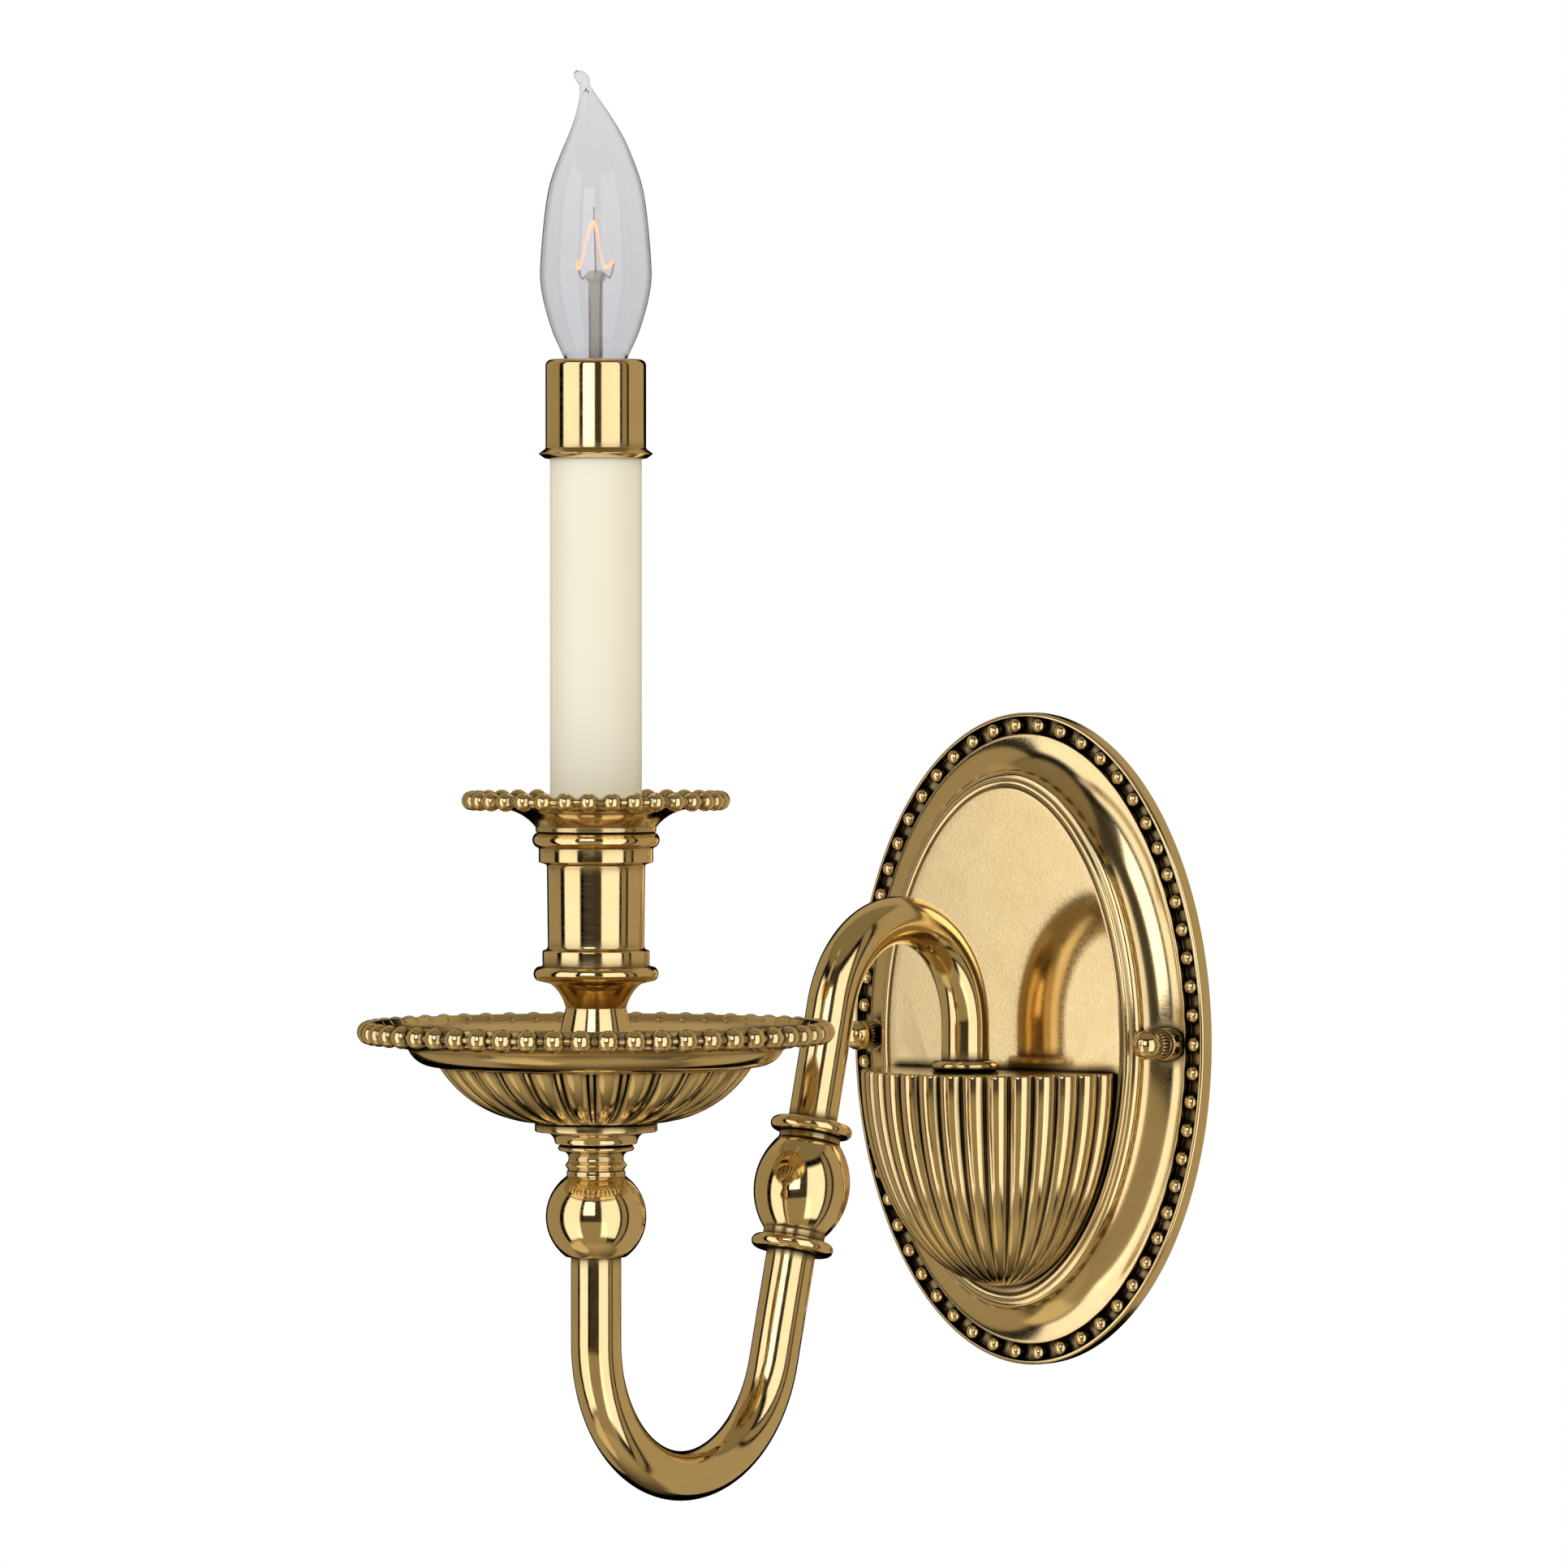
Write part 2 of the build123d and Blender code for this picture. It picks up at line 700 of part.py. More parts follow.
with BuildPart() as holder_bracket:
    with BuildSketch(at_column(bracket_base_z)):
        Circle(9.4)
        Circle(pipe_clear, mode=Mode.SUBTRACT)
    extrude(amount=bracket_thickness)
    with BuildSketch(at_column(bracket_base_z)):
        with Locations((0, 8.2)):
            Rectangle(6, bracket_thickness)
    extrude(amount=holder_z - bracket_base_z)
    with BuildSketch(at_column(holder_z)):
        with Locations((0, 8.8)):
            Rectangle(6, 12, align=(Align.CENTER, Align.MAX))
    extrude(amount=-bracket_thickness)
save(holder_bracket, "holder_bracket")

with BuildPart() as bracket_nut:
    with BuildSketch(at_column(bracket_nut_z)):
        RegularPolygon(7.2, 6)
        Circle(pipe_clear, mode=Mode.SUBTRACT)
    extrude(amount=nut_height)
save(bracket_nut, "bracket_nut")

with BuildPart() as lamp_holder:
    with BuildSketch(column_plane):
        with BuildLine():
            Polyline(
                (0, holder_z),
                (holder_radius - 0.6, holder_z),
                (holder_radius, holder_z + 0.6),
                (holder_radius, holder_top_z - 0.6),
                (holder_radius - 0.6, holder_top_z),
                (7.8, holder_top_z),
                (7.4, 173.4),
                (shell_radius + assembly_gap, 173.4),
                (shell_radius + assembly_gap, 152.6),
                (0, 152.6),
                (0, holder_z),
            )
        make_face()
    revolve(axis=column_axis)
    with BuildSketch(at_column(holder_z)):
        with Locations((-5.5, 0), (5.5, 0)):
            Circle(1.8)
    extrude(amount=3, mode=Mode.SUBTRACT)
save(lamp_holder, "lamp_holder")

with BuildPart() as holder_shell:
    with BuildSketch(at_column(155.4)):
        Circle(shell_radius)
        Circle(shell_bore, mode=Mode.SUBTRACT)
    extrude(amount=17.2)
save(holder_shell, "holder_shell")

with BuildPart() as holder_contact:
    with BuildSketch(at_column(152.6)):
        Circle(3.4)
    extrude(amount=0.5)
    with BuildSketch(at_column(152.6)):
        Circle(1.5)
    extrude(amount=lamp_contact_z - 152.6 - running_gap)
save(holder_contact, "holder_contact")

with BuildPart() as holder_terminals:
    with BuildSketch(at_column(holder_z - 3)):
        with Locations((-5.5, 0), (5.5, 0)):
            Circle(1.7)
            Circle(lead_radius + assembly_gap, mode=Mode.SUBTRACT)
    extrude(amount=5.8)
save(holder_terminals, "holder_terminals")

# ---- candle sleeve and its brass cap ---------------------------------------------------
cap_radius = 13.0
cap_flange_radius = 14.7
cap_flange_height = 2.7
cap_hole = 8.95

with BuildPart() as candle_sleeve:
    with BuildSketch(at_column(sleeve_z)):
        Circle(sleeve_radius)
        Circle(sleeve_bore, mode=Mode.SUBTRACT)
    extrude(amount=sleeve_length)
save(candle_sleeve, "candle_sleeve")

with BuildPart() as sleeve_cap:
    with BuildSketch(column_plane):
        with BuildLine():
            Line((sleeve_radius + 0.05, cap_z), (cap_flange_radius - 0.9, cap_z))
            ThreePointArc(
                (cap_flange_radius - 0.9, cap_z),
                (cap_flange_radius, cap_z + cap_flange_height / 2),
                (cap_flange_radius - 0.9, cap_z + cap_flange_height),
            )
            Polyline(
                (cap_flange_radius - 0.9, cap_z + cap_flange_height),
                (cap_radius, cap_z + cap_flange_height),
                (cap_radius, cap_top_z - 2.4),
            )
            ThreePointArc(
                (cap_radius, cap_top_z - 2.4),
                (cap_radius - 0.7, cap_top_z - 0.7),
                (cap_radius - 2.4, cap_top_z),
            )
            Polyline(
                (cap_radius - 2.4, cap_top_z),
                (cap_hole, cap_top_z),
                (cap_hole, cap_top_z - 1.1),
                (sleeve_bore, cap_top_z - 1.1),
                (sleeve_bore, sleeve_z + sleeve_length),
                (sleeve_radius + 0.05, sleeve_z + sleeve_length),
                (sleeve_radius + 0.05, cap_z),
            )
        make_face()
    revolve(axis=column_axis)
save(sleeve_cap, "sleeve_cap")

# ---- lamp ------------------------------------------------------------------------------
glass_wall = 0.8
glass_neck_radius = 5.2


def glass_outline(inset):
    """The lamp's flame outline as (radius, height) points, from the neck to the tip."""
    return [
        (glass_neck_radius - inset, lamp_collar_z - 4),
        (glass_neck_radius + 0.1 - inset, lamp_collar_z + 0.1),
        (6.3 - inset, 175.6),
        (8.2 - inset, cap_top_z + 0.2),
        (11.4 - inset, 189.2),
        (13.9 - inset, 198.5),
        (lamp_waist_radius - inset, lamp_waist_z),
        (12.5 - inset, 223.8),
        (9.2 - inset, 234.2),
        (4.6 - inset, 244.2),
        (2.3 - inset, 249.6),
    ]


with BuildPart() as lamp_glass:
    for inset, mode in ((0, Mode.ADD), (glass_wall, Mode.SUBTRACT)):
        points = glass_outline(inset)
        with BuildSketch(column_plane):
            with BuildLine():
                side = Spline(*points)
                Polyline(side @ 1, (0, points[-1][1]), (0, points[0][1]), side @ 0)
            make_face()
        revolve(axis=column_axis, mode=mode)
    tip_x = lamp_tip_lean * cos(radians(lamp_tip_heading))
    tip_y = candle_y + lamp_tip_lean * sin(radians(lamp_tip_heading))
    with BuildSketch(at_column(249.5)):
        Circle(2.28)
    with BuildSketch(Plane((tip_x, tip_y, lamp_tip_z))):
        Circle(1.2)
    loft()
    with Locations((tip_x, tip_y, lamp_tip_z)):
        Sphere(lamp_tip_radius)
save(lamp_glass, "lamp_glass")

with BuildPart() as lamp_shell:
    with BuildSketch(at_column(lamp_shell_z)):
        Circle(lamp_shell_radius)
    extrude(amount=lamp_collar_z - lamp_shell_z)
    with BuildSketch(at_column(lamp_shell_z - 1)):
        Circle(glass_neck_radius + 0.2)
    extrude(amount=30, mode=Mode.SUBTRACT)
save(lamp_shell, "lamp_shell")

with BuildPart() as lamp_insulator:
    with BuildSketch(column_plane):
        with BuildLine():
            Polyline(
                (0, lamp_contact_z + 1.2),
                (2.4, lamp_contact_z + 1.2),
                (5.0, lamp_shell_z - 0.2),
                (5.8, lamp_shell_z),
                (5.3, lamp_shell_z),
                (5.3, lamp_shell_z + 2.0),
                (0, lamp_shell_z + 2.0),
                (0, lamp_contact_z + 1.2),
            )
        make_face()
    revolve(axis=column_axis)
save(lamp_insulator, "lamp_insulator")

with BuildPart() as lamp_contact:
    with BuildSketch(at_column(lamp_contact_z)):
        Circle(2.2)
    extrude(amount=1.2 - 0.02)
    fillet(lamp_contact.edges().group_by(Axis.Z)[0], 0.8)
save(lamp_contact, "lamp_contact")

stem_foot_z = lamp_collar_z - 3.5
stem_top_z = 203.0
filament_z = 210.0

with BuildPart() as lamp_stem:
    with BuildSketch(column_plane):
        with BuildLine():
            Polyline(
                (0, stem_foot_z),
                (glass_neck_radius - glass_wall - 0.25, stem_foot_z),
                (2.2, stem_foot_z + 7),
                (1.5, stem_top_z - 6),
                (0.9, stem_top_z - 1.2),
            )
            ThreePointArc((0.9, stem_top_z - 1.2), (1.5, stem_top_z), (0, stem_top_z + 1.5))
            Line((0, stem_top_z + 1.5), (0, stem_foot_z))
        make_face()
    revolve(axis=column_axis)
save(lamp_stem, "lamp_stem")

with BuildPart() as lamp_supports:
    for side in (-1, 1):
        with BuildLine() as wire:
            FilletPolyline(
                (side * 2.6, candle_y, stem_foot_z + 8),
                (side * 2.2, candle_y, stem_top_z - 12),
                (side * 5.6, candle_y, filament_z + 2.5),
                radius=6,
            )
        with BuildSketch(Plane(wire.line @ 0, z_dir=wire.line % 0)):
            Circle(0.2)
        sweep(path=wire.line)
save(lamp_supports, "lamp_supports")

with BuildPart() as lamp_filament:
    with BuildLine() as coil:
        FilletPolyline(
            (-5.6, candle_y, filament_z + 2.9),
            (-3.0, candle_y - 2.2, filament_z - 0.5),
            (0, candle_y - 3.2, filament_z + 3.5),
            (3.0, candle_y - 2.2, filament_z - 0.5),
            (5.6, candle_y, filament_z + 2.9),
            radius=0.8,
        )
    with BuildSketch(Plane(coil.line @ 0, z_dir=coil.line % 0)):
        Circle(0.25)
    sweep(path=coil.line)
save(lamp_filament, "lamp_filament")

# ---- wiring inside the arm -------------------------------------------------------------
lead_turn_z = field_wire_z
cavity_y = -6.6
connector_start = 15.0
connector_length = 15.0

for side, name in ((-1, "lead_neutral"), (1, "lead_live")):
    x = side * lead_offset
    with BuildPart() as lead:
        with BuildLine() as lead_line:
            holder_end = FilletPolyline(
                (side * 5.5, candle_y, holder_z + 1.6),
                (side * 5.5, candle_y, 96),
                (x, candle_y, 72),
                (x, candle_y, 40),
                radius=40,
            )
            Line((x, candle_y, 40), (x, candle_y, lower_bend_z))
            lower_arm_path(x, lower_bend_z + 0.01, run_length)
            upper_arm_path(x, run_length - 0.01, upper_bend_z)
            FilletPolyline(
                (x, collar_y, upper_bend_z),
                (x, collar_y, lead_turn_z),
                (x, cavity_y, lead_turn_z),
                (side * (connector_start + 3), cavity_y, lead_turn_z),
                radius=(10, 6),
            )
        with BuildSketch(Plane(lead_line.line @ 0, z_dir=lead_line.line % 0)):
            Circle(lead_radius)
        sweep(path=lead_line.line)
    save(lead, name)

with BuildPart() as wire_connectors:
    for side in (-1, 1):
        start = (side * connector_start, cavity_y, lead_turn_z)
        with BuildSketch(Plane(origin=start, x_dir=(0, 1, 0), z_dir=(side, 0, 0))):
            Circle(4.6)
        extrude(amount=connector_length, taper=6)
        with BuildSketch(Plane(origin=start, x_dir=(0, 1, 0), z_dir=(side, 0, 0))):
            Circle(3.4)
        extrude(amount=8, taper=12, mode=Mode.SUBTRACT)
save(wire_connectors, "wire_connectors")
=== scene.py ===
"""The look of a brass wall sconce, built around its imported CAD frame.

Everything is in the row frame. Outlines are in millimetres and are scaled when a mesh is made.
A turned piece's outline is (radius, height above the piece's foot), and the foot's own place
comes from the CAD node that the piece stands for.
"""

import json
from math import acos, atan2, cos, degrees, pi, radians, sin, sqrt
from typing import NamedTuple

import bmesh
import bpy
import numpy as np
from mathutils import Matrix, Vector


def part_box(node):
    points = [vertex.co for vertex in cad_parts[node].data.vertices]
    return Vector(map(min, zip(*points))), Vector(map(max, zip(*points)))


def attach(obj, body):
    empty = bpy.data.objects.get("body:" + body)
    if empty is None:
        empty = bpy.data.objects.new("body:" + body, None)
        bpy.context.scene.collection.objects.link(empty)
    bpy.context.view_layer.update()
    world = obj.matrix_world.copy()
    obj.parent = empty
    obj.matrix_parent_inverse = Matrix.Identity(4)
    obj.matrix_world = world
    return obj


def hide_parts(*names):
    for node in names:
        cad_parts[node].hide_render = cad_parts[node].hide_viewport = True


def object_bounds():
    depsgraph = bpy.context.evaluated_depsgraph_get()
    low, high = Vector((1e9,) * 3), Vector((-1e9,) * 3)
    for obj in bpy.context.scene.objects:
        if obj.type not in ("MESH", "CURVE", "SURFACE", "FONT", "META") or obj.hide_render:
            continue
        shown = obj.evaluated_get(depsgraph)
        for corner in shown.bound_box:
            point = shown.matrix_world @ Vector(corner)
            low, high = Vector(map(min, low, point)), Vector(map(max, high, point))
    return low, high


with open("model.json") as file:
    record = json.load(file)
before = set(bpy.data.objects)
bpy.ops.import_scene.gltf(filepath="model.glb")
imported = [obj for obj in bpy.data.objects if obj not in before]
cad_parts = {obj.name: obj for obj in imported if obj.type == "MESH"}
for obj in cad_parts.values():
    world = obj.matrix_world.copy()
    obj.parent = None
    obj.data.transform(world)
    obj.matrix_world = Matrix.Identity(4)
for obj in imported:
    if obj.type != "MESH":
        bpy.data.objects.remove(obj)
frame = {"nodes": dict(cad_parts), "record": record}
cad_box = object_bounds()

MM = 0.001

# ---- places taken from the frame, in millimetres ---------------------------------------


def low(node):
    """The lowest corner of a CAD node."""
    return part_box(node)[0] / MM


def high(node):
    """The highest corner of a CAD node."""
    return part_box(node)[1] / MM


candle_y = (low("candle_sleeve").y + high("candle_sleeve").y) / 2
collar_y = (low("arm_collar").y + high("arm_collar").y) / 2
plate_half_width = high("backplate").x
plate_half_height = high("backplate").z
glass_ends = (low("lamp_glass").z + 20.0, high("lamp_glass").z)

# ---- driving dimensions ----------------------------------------------------------------
tube_radius = 6.5
tube_bore = 5.5
tube_clear = 6.55
pipe_clear = 4.81           # bore of every piece that is clamped on the lamp pipe
lower_bend_radius = 36.75
upper_bend_radius = 29.5
run_lean = radians(14.6)
knop_at = 47.5              # centre of the knop, along the leaning run
field_front = 14.2
field_wall = 1.2
nut_x = 50.0
stud_seat_front = 9.0

around = 288                # steps round a turned piece
column = Matrix.Translation((0, candle_y, 0))


# ---- outlines --------------------------------------------------------------------------
class Arc(NamedTuple):
    """A round stretch of an outline, through a middle point to its end."""

    middle: tuple
    end: tuple


def arc_points(start, arc, steps):
    """Points along the circle through start, arc.middle and arc.end, without start."""
    a, b, c = (np.array(p, float) for p in (start, *arc))
    ab, ac = b - a, c - a
    cross = 2 * (ab[0] * ac[1] - ab[1] * ac[0])
    centre = a + np.array(
        [
            ac[1] * (ab @ ab) - ab[1] * (ac @ ac),
            ab[0] * (ac @ ac) - ac[0] * (ab @ ab),
        ]
    ) / cross
    first, middle, last = (atan2(*(p - centre)[::-1]) for p in (a, b, c))
    full = 2 * pi
    sweep = (last - first) % full
    if (middle - first) % full > sweep:
        sweep -= full
    radius = np.linalg.norm(a - centre)
    angles = first + sweep * np.arange(1, steps + 1) / steps
    return [centre + radius * np.array([cos(t), sin(t)]) for t in angles]


def trace(outline, soften=0.25, arc_steps=16):
    """The points of an outline, with its arcs stepped and its corners rounded."""
    points = [np.array(outline[0], float)]
    corner = [False]
    for item in outline[1:]:
        if isinstance(item, Arc):
            run = arc_points(points[-1], item, arc_steps)
            points += run
            corner += [False] * (len(run) - 1) + [True]
            corner[-len(run) - 1] = True
        else:
            points.append(np.array(item, float))
            corner.append(True)
    traced = [points[0]]
    for before, point, after, sharp in zip(points, points[1:], points[2:], corner[1:]):
        back, on = before - point, after - point
        reach = min(soften, 0.45 * np.linalg.norm(back), 0.45 * np.linalg.norm(on))
        if not sharp or reach < 0.01:
            traced.append(point)
            continue
        start = point + back / np.linalg.norm(back) * reach
        end = point + on / np.linalg.norm(on) * reach
        for t in np.linspace(0, 1, 5):
            traced.append((1 - t) ** 2 * start + 2 * t * (1 - t) * point + t * t * end)
    traced.append(points[-1])
    return np.array(traced)


def outward(points):
    """The unit vectors that point out of an outline drawn from its foot, outside first."""
    along = np.gradient(points, axis=0)
    along /= np.linalg.norm(along, axis=1, keepdims=True).clip(1e-9)
    return np.stack([along[:, 1], -along[:, 0]], axis=1)


# ---- grids of points, in millimetres ---------------------------------------------------
class Grid(NamedTuple):
    """A surface as rows and columns of points, either of which may close on itself."""

    points: np.ndarray
    rows_close: bool = False
    columns_close: bool = False


def turned(points, foot=0.0, angles=None, recess=None):
    """A turned surface. A recess, rows by angles, sinks it into the piece."""
    if angles is None:
        angles = np.linspace(0, 2 * pi, around, endpoint=False)
    place = np.repeat(points[:, None, :], len(angles), axis=1)
    if recess is not None:
        place = place - outward(points)[:, None, :] * recess[:, :, None]
    radius, height = place[..., 0], place[..., 1]
    surface = np.stack(
        [radius * np.cos(angles), radius * np.sin(angles), height + foot], axis=-1
    )
    return Grid(surface, columns_close=True)


def ball(centre, radius, steps=24):
    """A round bead."""
    rise = np.linspace(-pi / 2, pi / 2, steps // 2 + 1)[:, None]
    turn = np.linspace(0, 2 * pi, steps, endpoint=False)[None, :]
    unit = np.stack(
        [np.cos(rise) * np.cos(turn), np.cos(rise) * np.sin(turn), np.sin(rise) + 0 * turn],
        axis=-1,
    )
    return Grid(np.array(centre) + radius * unit, columns_close=True)


def swept(path, radius, reference, bore=None, steps=48):
    """A round bar or tube along a path of points. Its ends are closed."""
    path = np.array(path, float)
    along = np.gradient(path, axis=0)
    along /= np.linalg.norm(along, axis=1, keepdims=True)
    side = np.array(reference, float) - (along @ np.array(reference, float))[:, None] * along
    side /= np.linalg.norm(side, axis=1, keepdims=True)
    other = np.cross(along, side)
    turn = np.linspace(0, 2 * pi, steps, endpoint=False)[None, :, None]
    ring = np.cos(turn) * side[:, None, :] + np.sin(turn) * other[:, None, :]
    outer = path[:, None, :] + radius * ring
    inner = path[:, None, :] + (bore or 0.0) * ring
    if bore:
        return Grid(np.concatenate([outer, inner[::-1]]), rows_close=True, columns_close=True)
    return Grid(np.concatenate([inner[:1], outer, inner[-1:]]), columns_close=True)


def mesh_from(grids, place=Matrix.Identity(4), extra=None):
    """A mesh in metres from grids in millimetres, with its normals turned outwards."""
    corners, faces = [], []
    base = 0
    for grid in grids:
        rows, columns = grid.points.shape[:2]
        index = base + np.arange(rows * columns).reshape(rows, columns)
        if grid.rows_close:
            index = np.vstack([index, index[:1]])
        if grid.columns_close:
            index = np.hstack([index, index[:, :1]])
        quads = [index[:-1, :-1], index[:-1, 1:], index[1:, 1:], index[1:, :-1]]
        faces.append(np.stack(quads, axis=-1).reshape(-1, 4))
        corners.append(grid.points.reshape(-1, 3))
        base += rows * columns
    mesh = bpy.data.meshes.new("surface")
    mesh.from_pydata(np.concatenate(corners).tolist(), [], np.concatenate(faces).tolist())
    work = bmesh.new()
    work.from_mesh(mesh)
    if extra:
        extra(work)
    bmesh.ops.remove_doubles(work, verts=work.verts, dist=1e-4)
    bmesh.ops.dissolve_degenerate(work, edges=work.edges, dist=1e-4)
    bmesh.ops.recalc_face_normals(work, faces=work.faces)
    work.to_mesh(mesh)
    work.free()
    mesh.transform(Matrix.Scale(MM, 4) @ place)
    mesh.shade_smooth()
    return mesh


def piece(name, grids, cad_node, material, body, place=Matrix.Identity(4), extra=None):
    """A shown piece that stands for a CAD node and rides on its body."""
    shape = bpy.data.objects.new(name, mesh_from(grids, place, extra))
    bpy.context.scene.collection.objects.link(shape)
    shape.data.materials.append(material)
    shape.modifiers.new("even shading", "WEIGHTED_NORMAL").keep_sharp = True
    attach(shape, body)
    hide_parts(cad_node)
    return shape


# ---- material helpers ------------------------------------------------------------------
def node(tree, kind, values=None, **settings):
    """A shader node, with its settings and its input values or links."""
    made = tree.nodes.new("ShaderNode" + kind)
    for key, value in settings.items():
        setattr(made, key, value)
    for key, value in (values or {}).items():
        if isinstance(value, bpy.types.NodeSocket):
            tree.links.new(value, made.inputs[key])
        else:
            made.inputs[key].default_value = value
    return made


def blank_material(name, **values):
    """A material with a Principled shader. Returns the material, its tree and the shader."""
    material = bpy.data.materials.new(name)
    material.use_nodes = True
    shader = material.node_tree.nodes["Principled BSDF"]
    for key, value in values.items():
        shader.inputs[key.replace("_", " ")].default_value = value
    return material, material.node_tree, shader


def stretched_noise(tree, stretch, scale, detail=4.0):
    """Noise in the row frame, drawn out along the axes where stretch is small."""
    place = node(tree, "TexCoord").outputs["Object"]
    mapped = node(tree, "Mapping", {"Vector": place, "Scale": stretch})
    values = {"Vector": mapped.outputs["Vector"], "Scale": scale, "Detail": detail}
    return node(tree, "TexNoise", values).outputs["Fac"]


def ranged(tree, value, low_in, high_in, low_out, high_out, smooth=False):
    """A value moved from one range to another and held inside it."""
    made = node(
        tree,
        "MapRange",
        {1: low_in, 2: high_in, 3: low_out, 4: high_out, 0: value},
        interpolation_type="SMOOTHSTEP" if smooth else "LINEAR",
    )
    return made.outputs[0]


def maths(tree, operation, first, second=0.0):
    """One Math node."""
    return node(tree, "Math", {0: first, 1: second}, operation=operation).outputs[0]


def mixed(tree, share, first, second):
    """A colour between two colours."""
    made = node(tree, "Mix", {"Factor": share, 6: first, 7: second}, data_type="RGBA")
    return made.outputs[2]


def bumped(tree, shader, height, distance, strength=1.0):
    """Relief of a depth given in metres."""
    values = {"Height": height, "Distance": distance, "Strength": strength}
    made = node(tree, "Bump", values)
    tree.links.new(made.outputs["Normal"], shader.inputs["Normal"])


# ---- materials -------------------------------------------------------------------------
BRIGHT_BRASS = (0.84, 0.66, 0.37, 1)
WARM_BRASS = (0.66, 0.46, 0.20, 1)
PATINA = (0.020, 0.011, 0.004, 1)


def antique_brass(name, marks, relief, roughness):
    """Burnished brass with dark patina left in its crevices. marks is the grain's stretch."""
    material, tree, shader = blank_material(name, Metallic=1.0)
    cloud = stretched_noise(tree, (1, 1, 1), 90.0, 5.0)
    grain = stretched_noise(tree, marks, 1600.0, 3.0)
    open_sky = node(tree, "AmbientOcclusion", {"Distance": 0.003}, samples=8).outputs["AO"]
    wear = maths(tree, "ADD", open_sky, ranged(tree, cloud, 0.3, 0.7, -0.06, 0.06))
    patina = ranged(tree, wear, 0.60, 0.95, 1.0, 0.0)
    tone = mixed(tree, ranged(tree, cloud, 0.35, 0.7, 0.0, 0.25), BRIGHT_BRASS, WARM_BRASS)
    tree.links.new(mixed(tree, patina, tone, PATINA), shader.inputs["Base Color"])
    gloss = ranged(tree, grain, 0.3, 0.7, roughness, roughness + 0.06)
    dull = maths(tree, "MULTIPLY", patina, 0.30)
    tree.links.new(maths(tree, "ADD", gloss, dull), shader.inputs["Roughness"])
    bumped(tree, shader, grain, relief)
    return material


def ivory():
    """Satin ivory sleeve, with a faint unevenness of colour."""
    material, tree, shader = blank_material("ivory_sleeve")
    grain = stretched_noise(tree, (1, 1, 1), 1500.0)
    cloud = stretched_noise(tree, (1, 1, 0.6), 60.0)
    tone = mixed(
        tree, ranged(tree, cloud, 0.3, 0.7, 0, 1), (0.96, 0.95, 0.83, 1), (0.94, 0.92, 0.79, 1)
    )
    tree.links.new(tone, shader.inputs["Base Color"])
    tree.links.new(ranged(tree, grain, 0.3, 0.7, 0.40, 0.48), shader.inputs["Roughness"])
    bumped(tree, shader, grain, 0.000004)
    return material


def clear_glass():
    """Blown lamp glass, with painted shade that darkens it towards its foot and where it is seen edge
    on.
    """
    material, tree, shader = blank_material(
        "lamp_glass", Transmission_Weight=1.0, Roughness=0.0, IOR=1.47, Specular_IOR_Level=1.0
    )
    place = node(tree, "TexCoord").outputs["Object"]
    height = node(tree, "SeparateXYZ", {0: place}).outputs["Z"]
    # Painted shade: the glass's colour is darker towards its foot.
    painted_foot_shade = ranged(tree, height, *(z * MM for z in glass_ends), 1.0, 0.0)
    tint = mixed(tree, painted_foot_shade, (0.985, 0.985, 0.985, 1), (0.87, 0.87, 0.885, 1))
    # Painted shade: the colour turns near black where the glass is seen edge on.
    slant = node(tree, "LayerWeight", {"Blend": 0.5}).outputs["Facing"]
    edge = ranged(tree, slant, 0.62, 0.93, 0.0, 1.0)
    shade = mixed(tree, edge, tint, (0.10, 0.09, 0.08, 1))
    tree.links.new(shade, shader.inputs["Base Color"])
    wave = stretched_noise(tree, (1, 1, 0.4), 70.0, 1.0)
    bumped(tree, shader, wave, 0.0002, 0.25)
    return material


def pressed_glass():
    """The lamp's stem, pinched and stretched from a glass tube."""
    material, tree, shader = blank_material(
        "pressed_glass", Transmission_Weight=0.55, IOR=1.47, Base_Color=(0.90, 0.86, 0.78, 1)
    )
    dents = stretched_noise(tree, (1, 1, 0.3), 420.0, 2.0)
    tree.links.new(ranged(tree, dents, 0.3, 0.7, 0.12, 0.30), shader.inputs["Roughness"])
    bumped(tree, shader, dents, 0.0006)
    return material


def plain_metal(name, colour, dark, roughness, stretch=(1, 1, 1)):
    """Plated or drawn metal, with grain and painted shade darkening its corners."""
    material, tree, shader = blank_material(name, Metallic=1.0)
    grain = stretched_noise(tree, stretch, 900.0)
    cloud = stretched_noise(tree, (1, 1, 1), 120.0)
    # Painted shade: the colour darkens towards near black where the AO node finds corners.
    open_sky = node(tree, "AmbientOcclusion", {"Distance": 0.002}, samples=4).outputs["AO"]
    painted_corner_shade = maths(tree, "MULTIPLY", ranged(tree, open_sky, 0.3, 0.8, 1, 0), 0.7)
    tone = mixed(tree, ranged(tree, cloud, 0.3, 0.7, 0, 0.6), colour, dark)
    tree.links.new(mixed(tree, painted_corner_shade, tone, (0.05, 0.045, 0.04, 1)), shader.inputs["Base Color"])
    rough = ranged(tree, grain, 0.3, 0.7, roughness, roughness + 0.15)
    tree.links.new(rough, shader.inputs["Roughness"])
    bumped(tree, shader, grain, 0.00002)
    return material


def moulded(name, colour, other, roughness, relief=0.00002):
    """Moulded or extruded plastic."""
    material, tree, shader = blank_material(name)
    grain = stretched_noise(tree, (1, 1, 1), 1200.0)
    cloud = stretched_noise(tree, (1, 1, 1), 90.0)
    tone = mixed(tree, ranged(tree, cloud, 0.3, 0.7, 0, 1), colour, other)
    tree.links.new(tone, shader.inputs["Base Color"])
    rough = ranged(tree, grain, 0.3, 0.7, roughness, roughness + 0.12)
    tree.links.new(rough, shader.inputs["Roughness"])
    bumped(tree, shader, grain, relief)
    return material


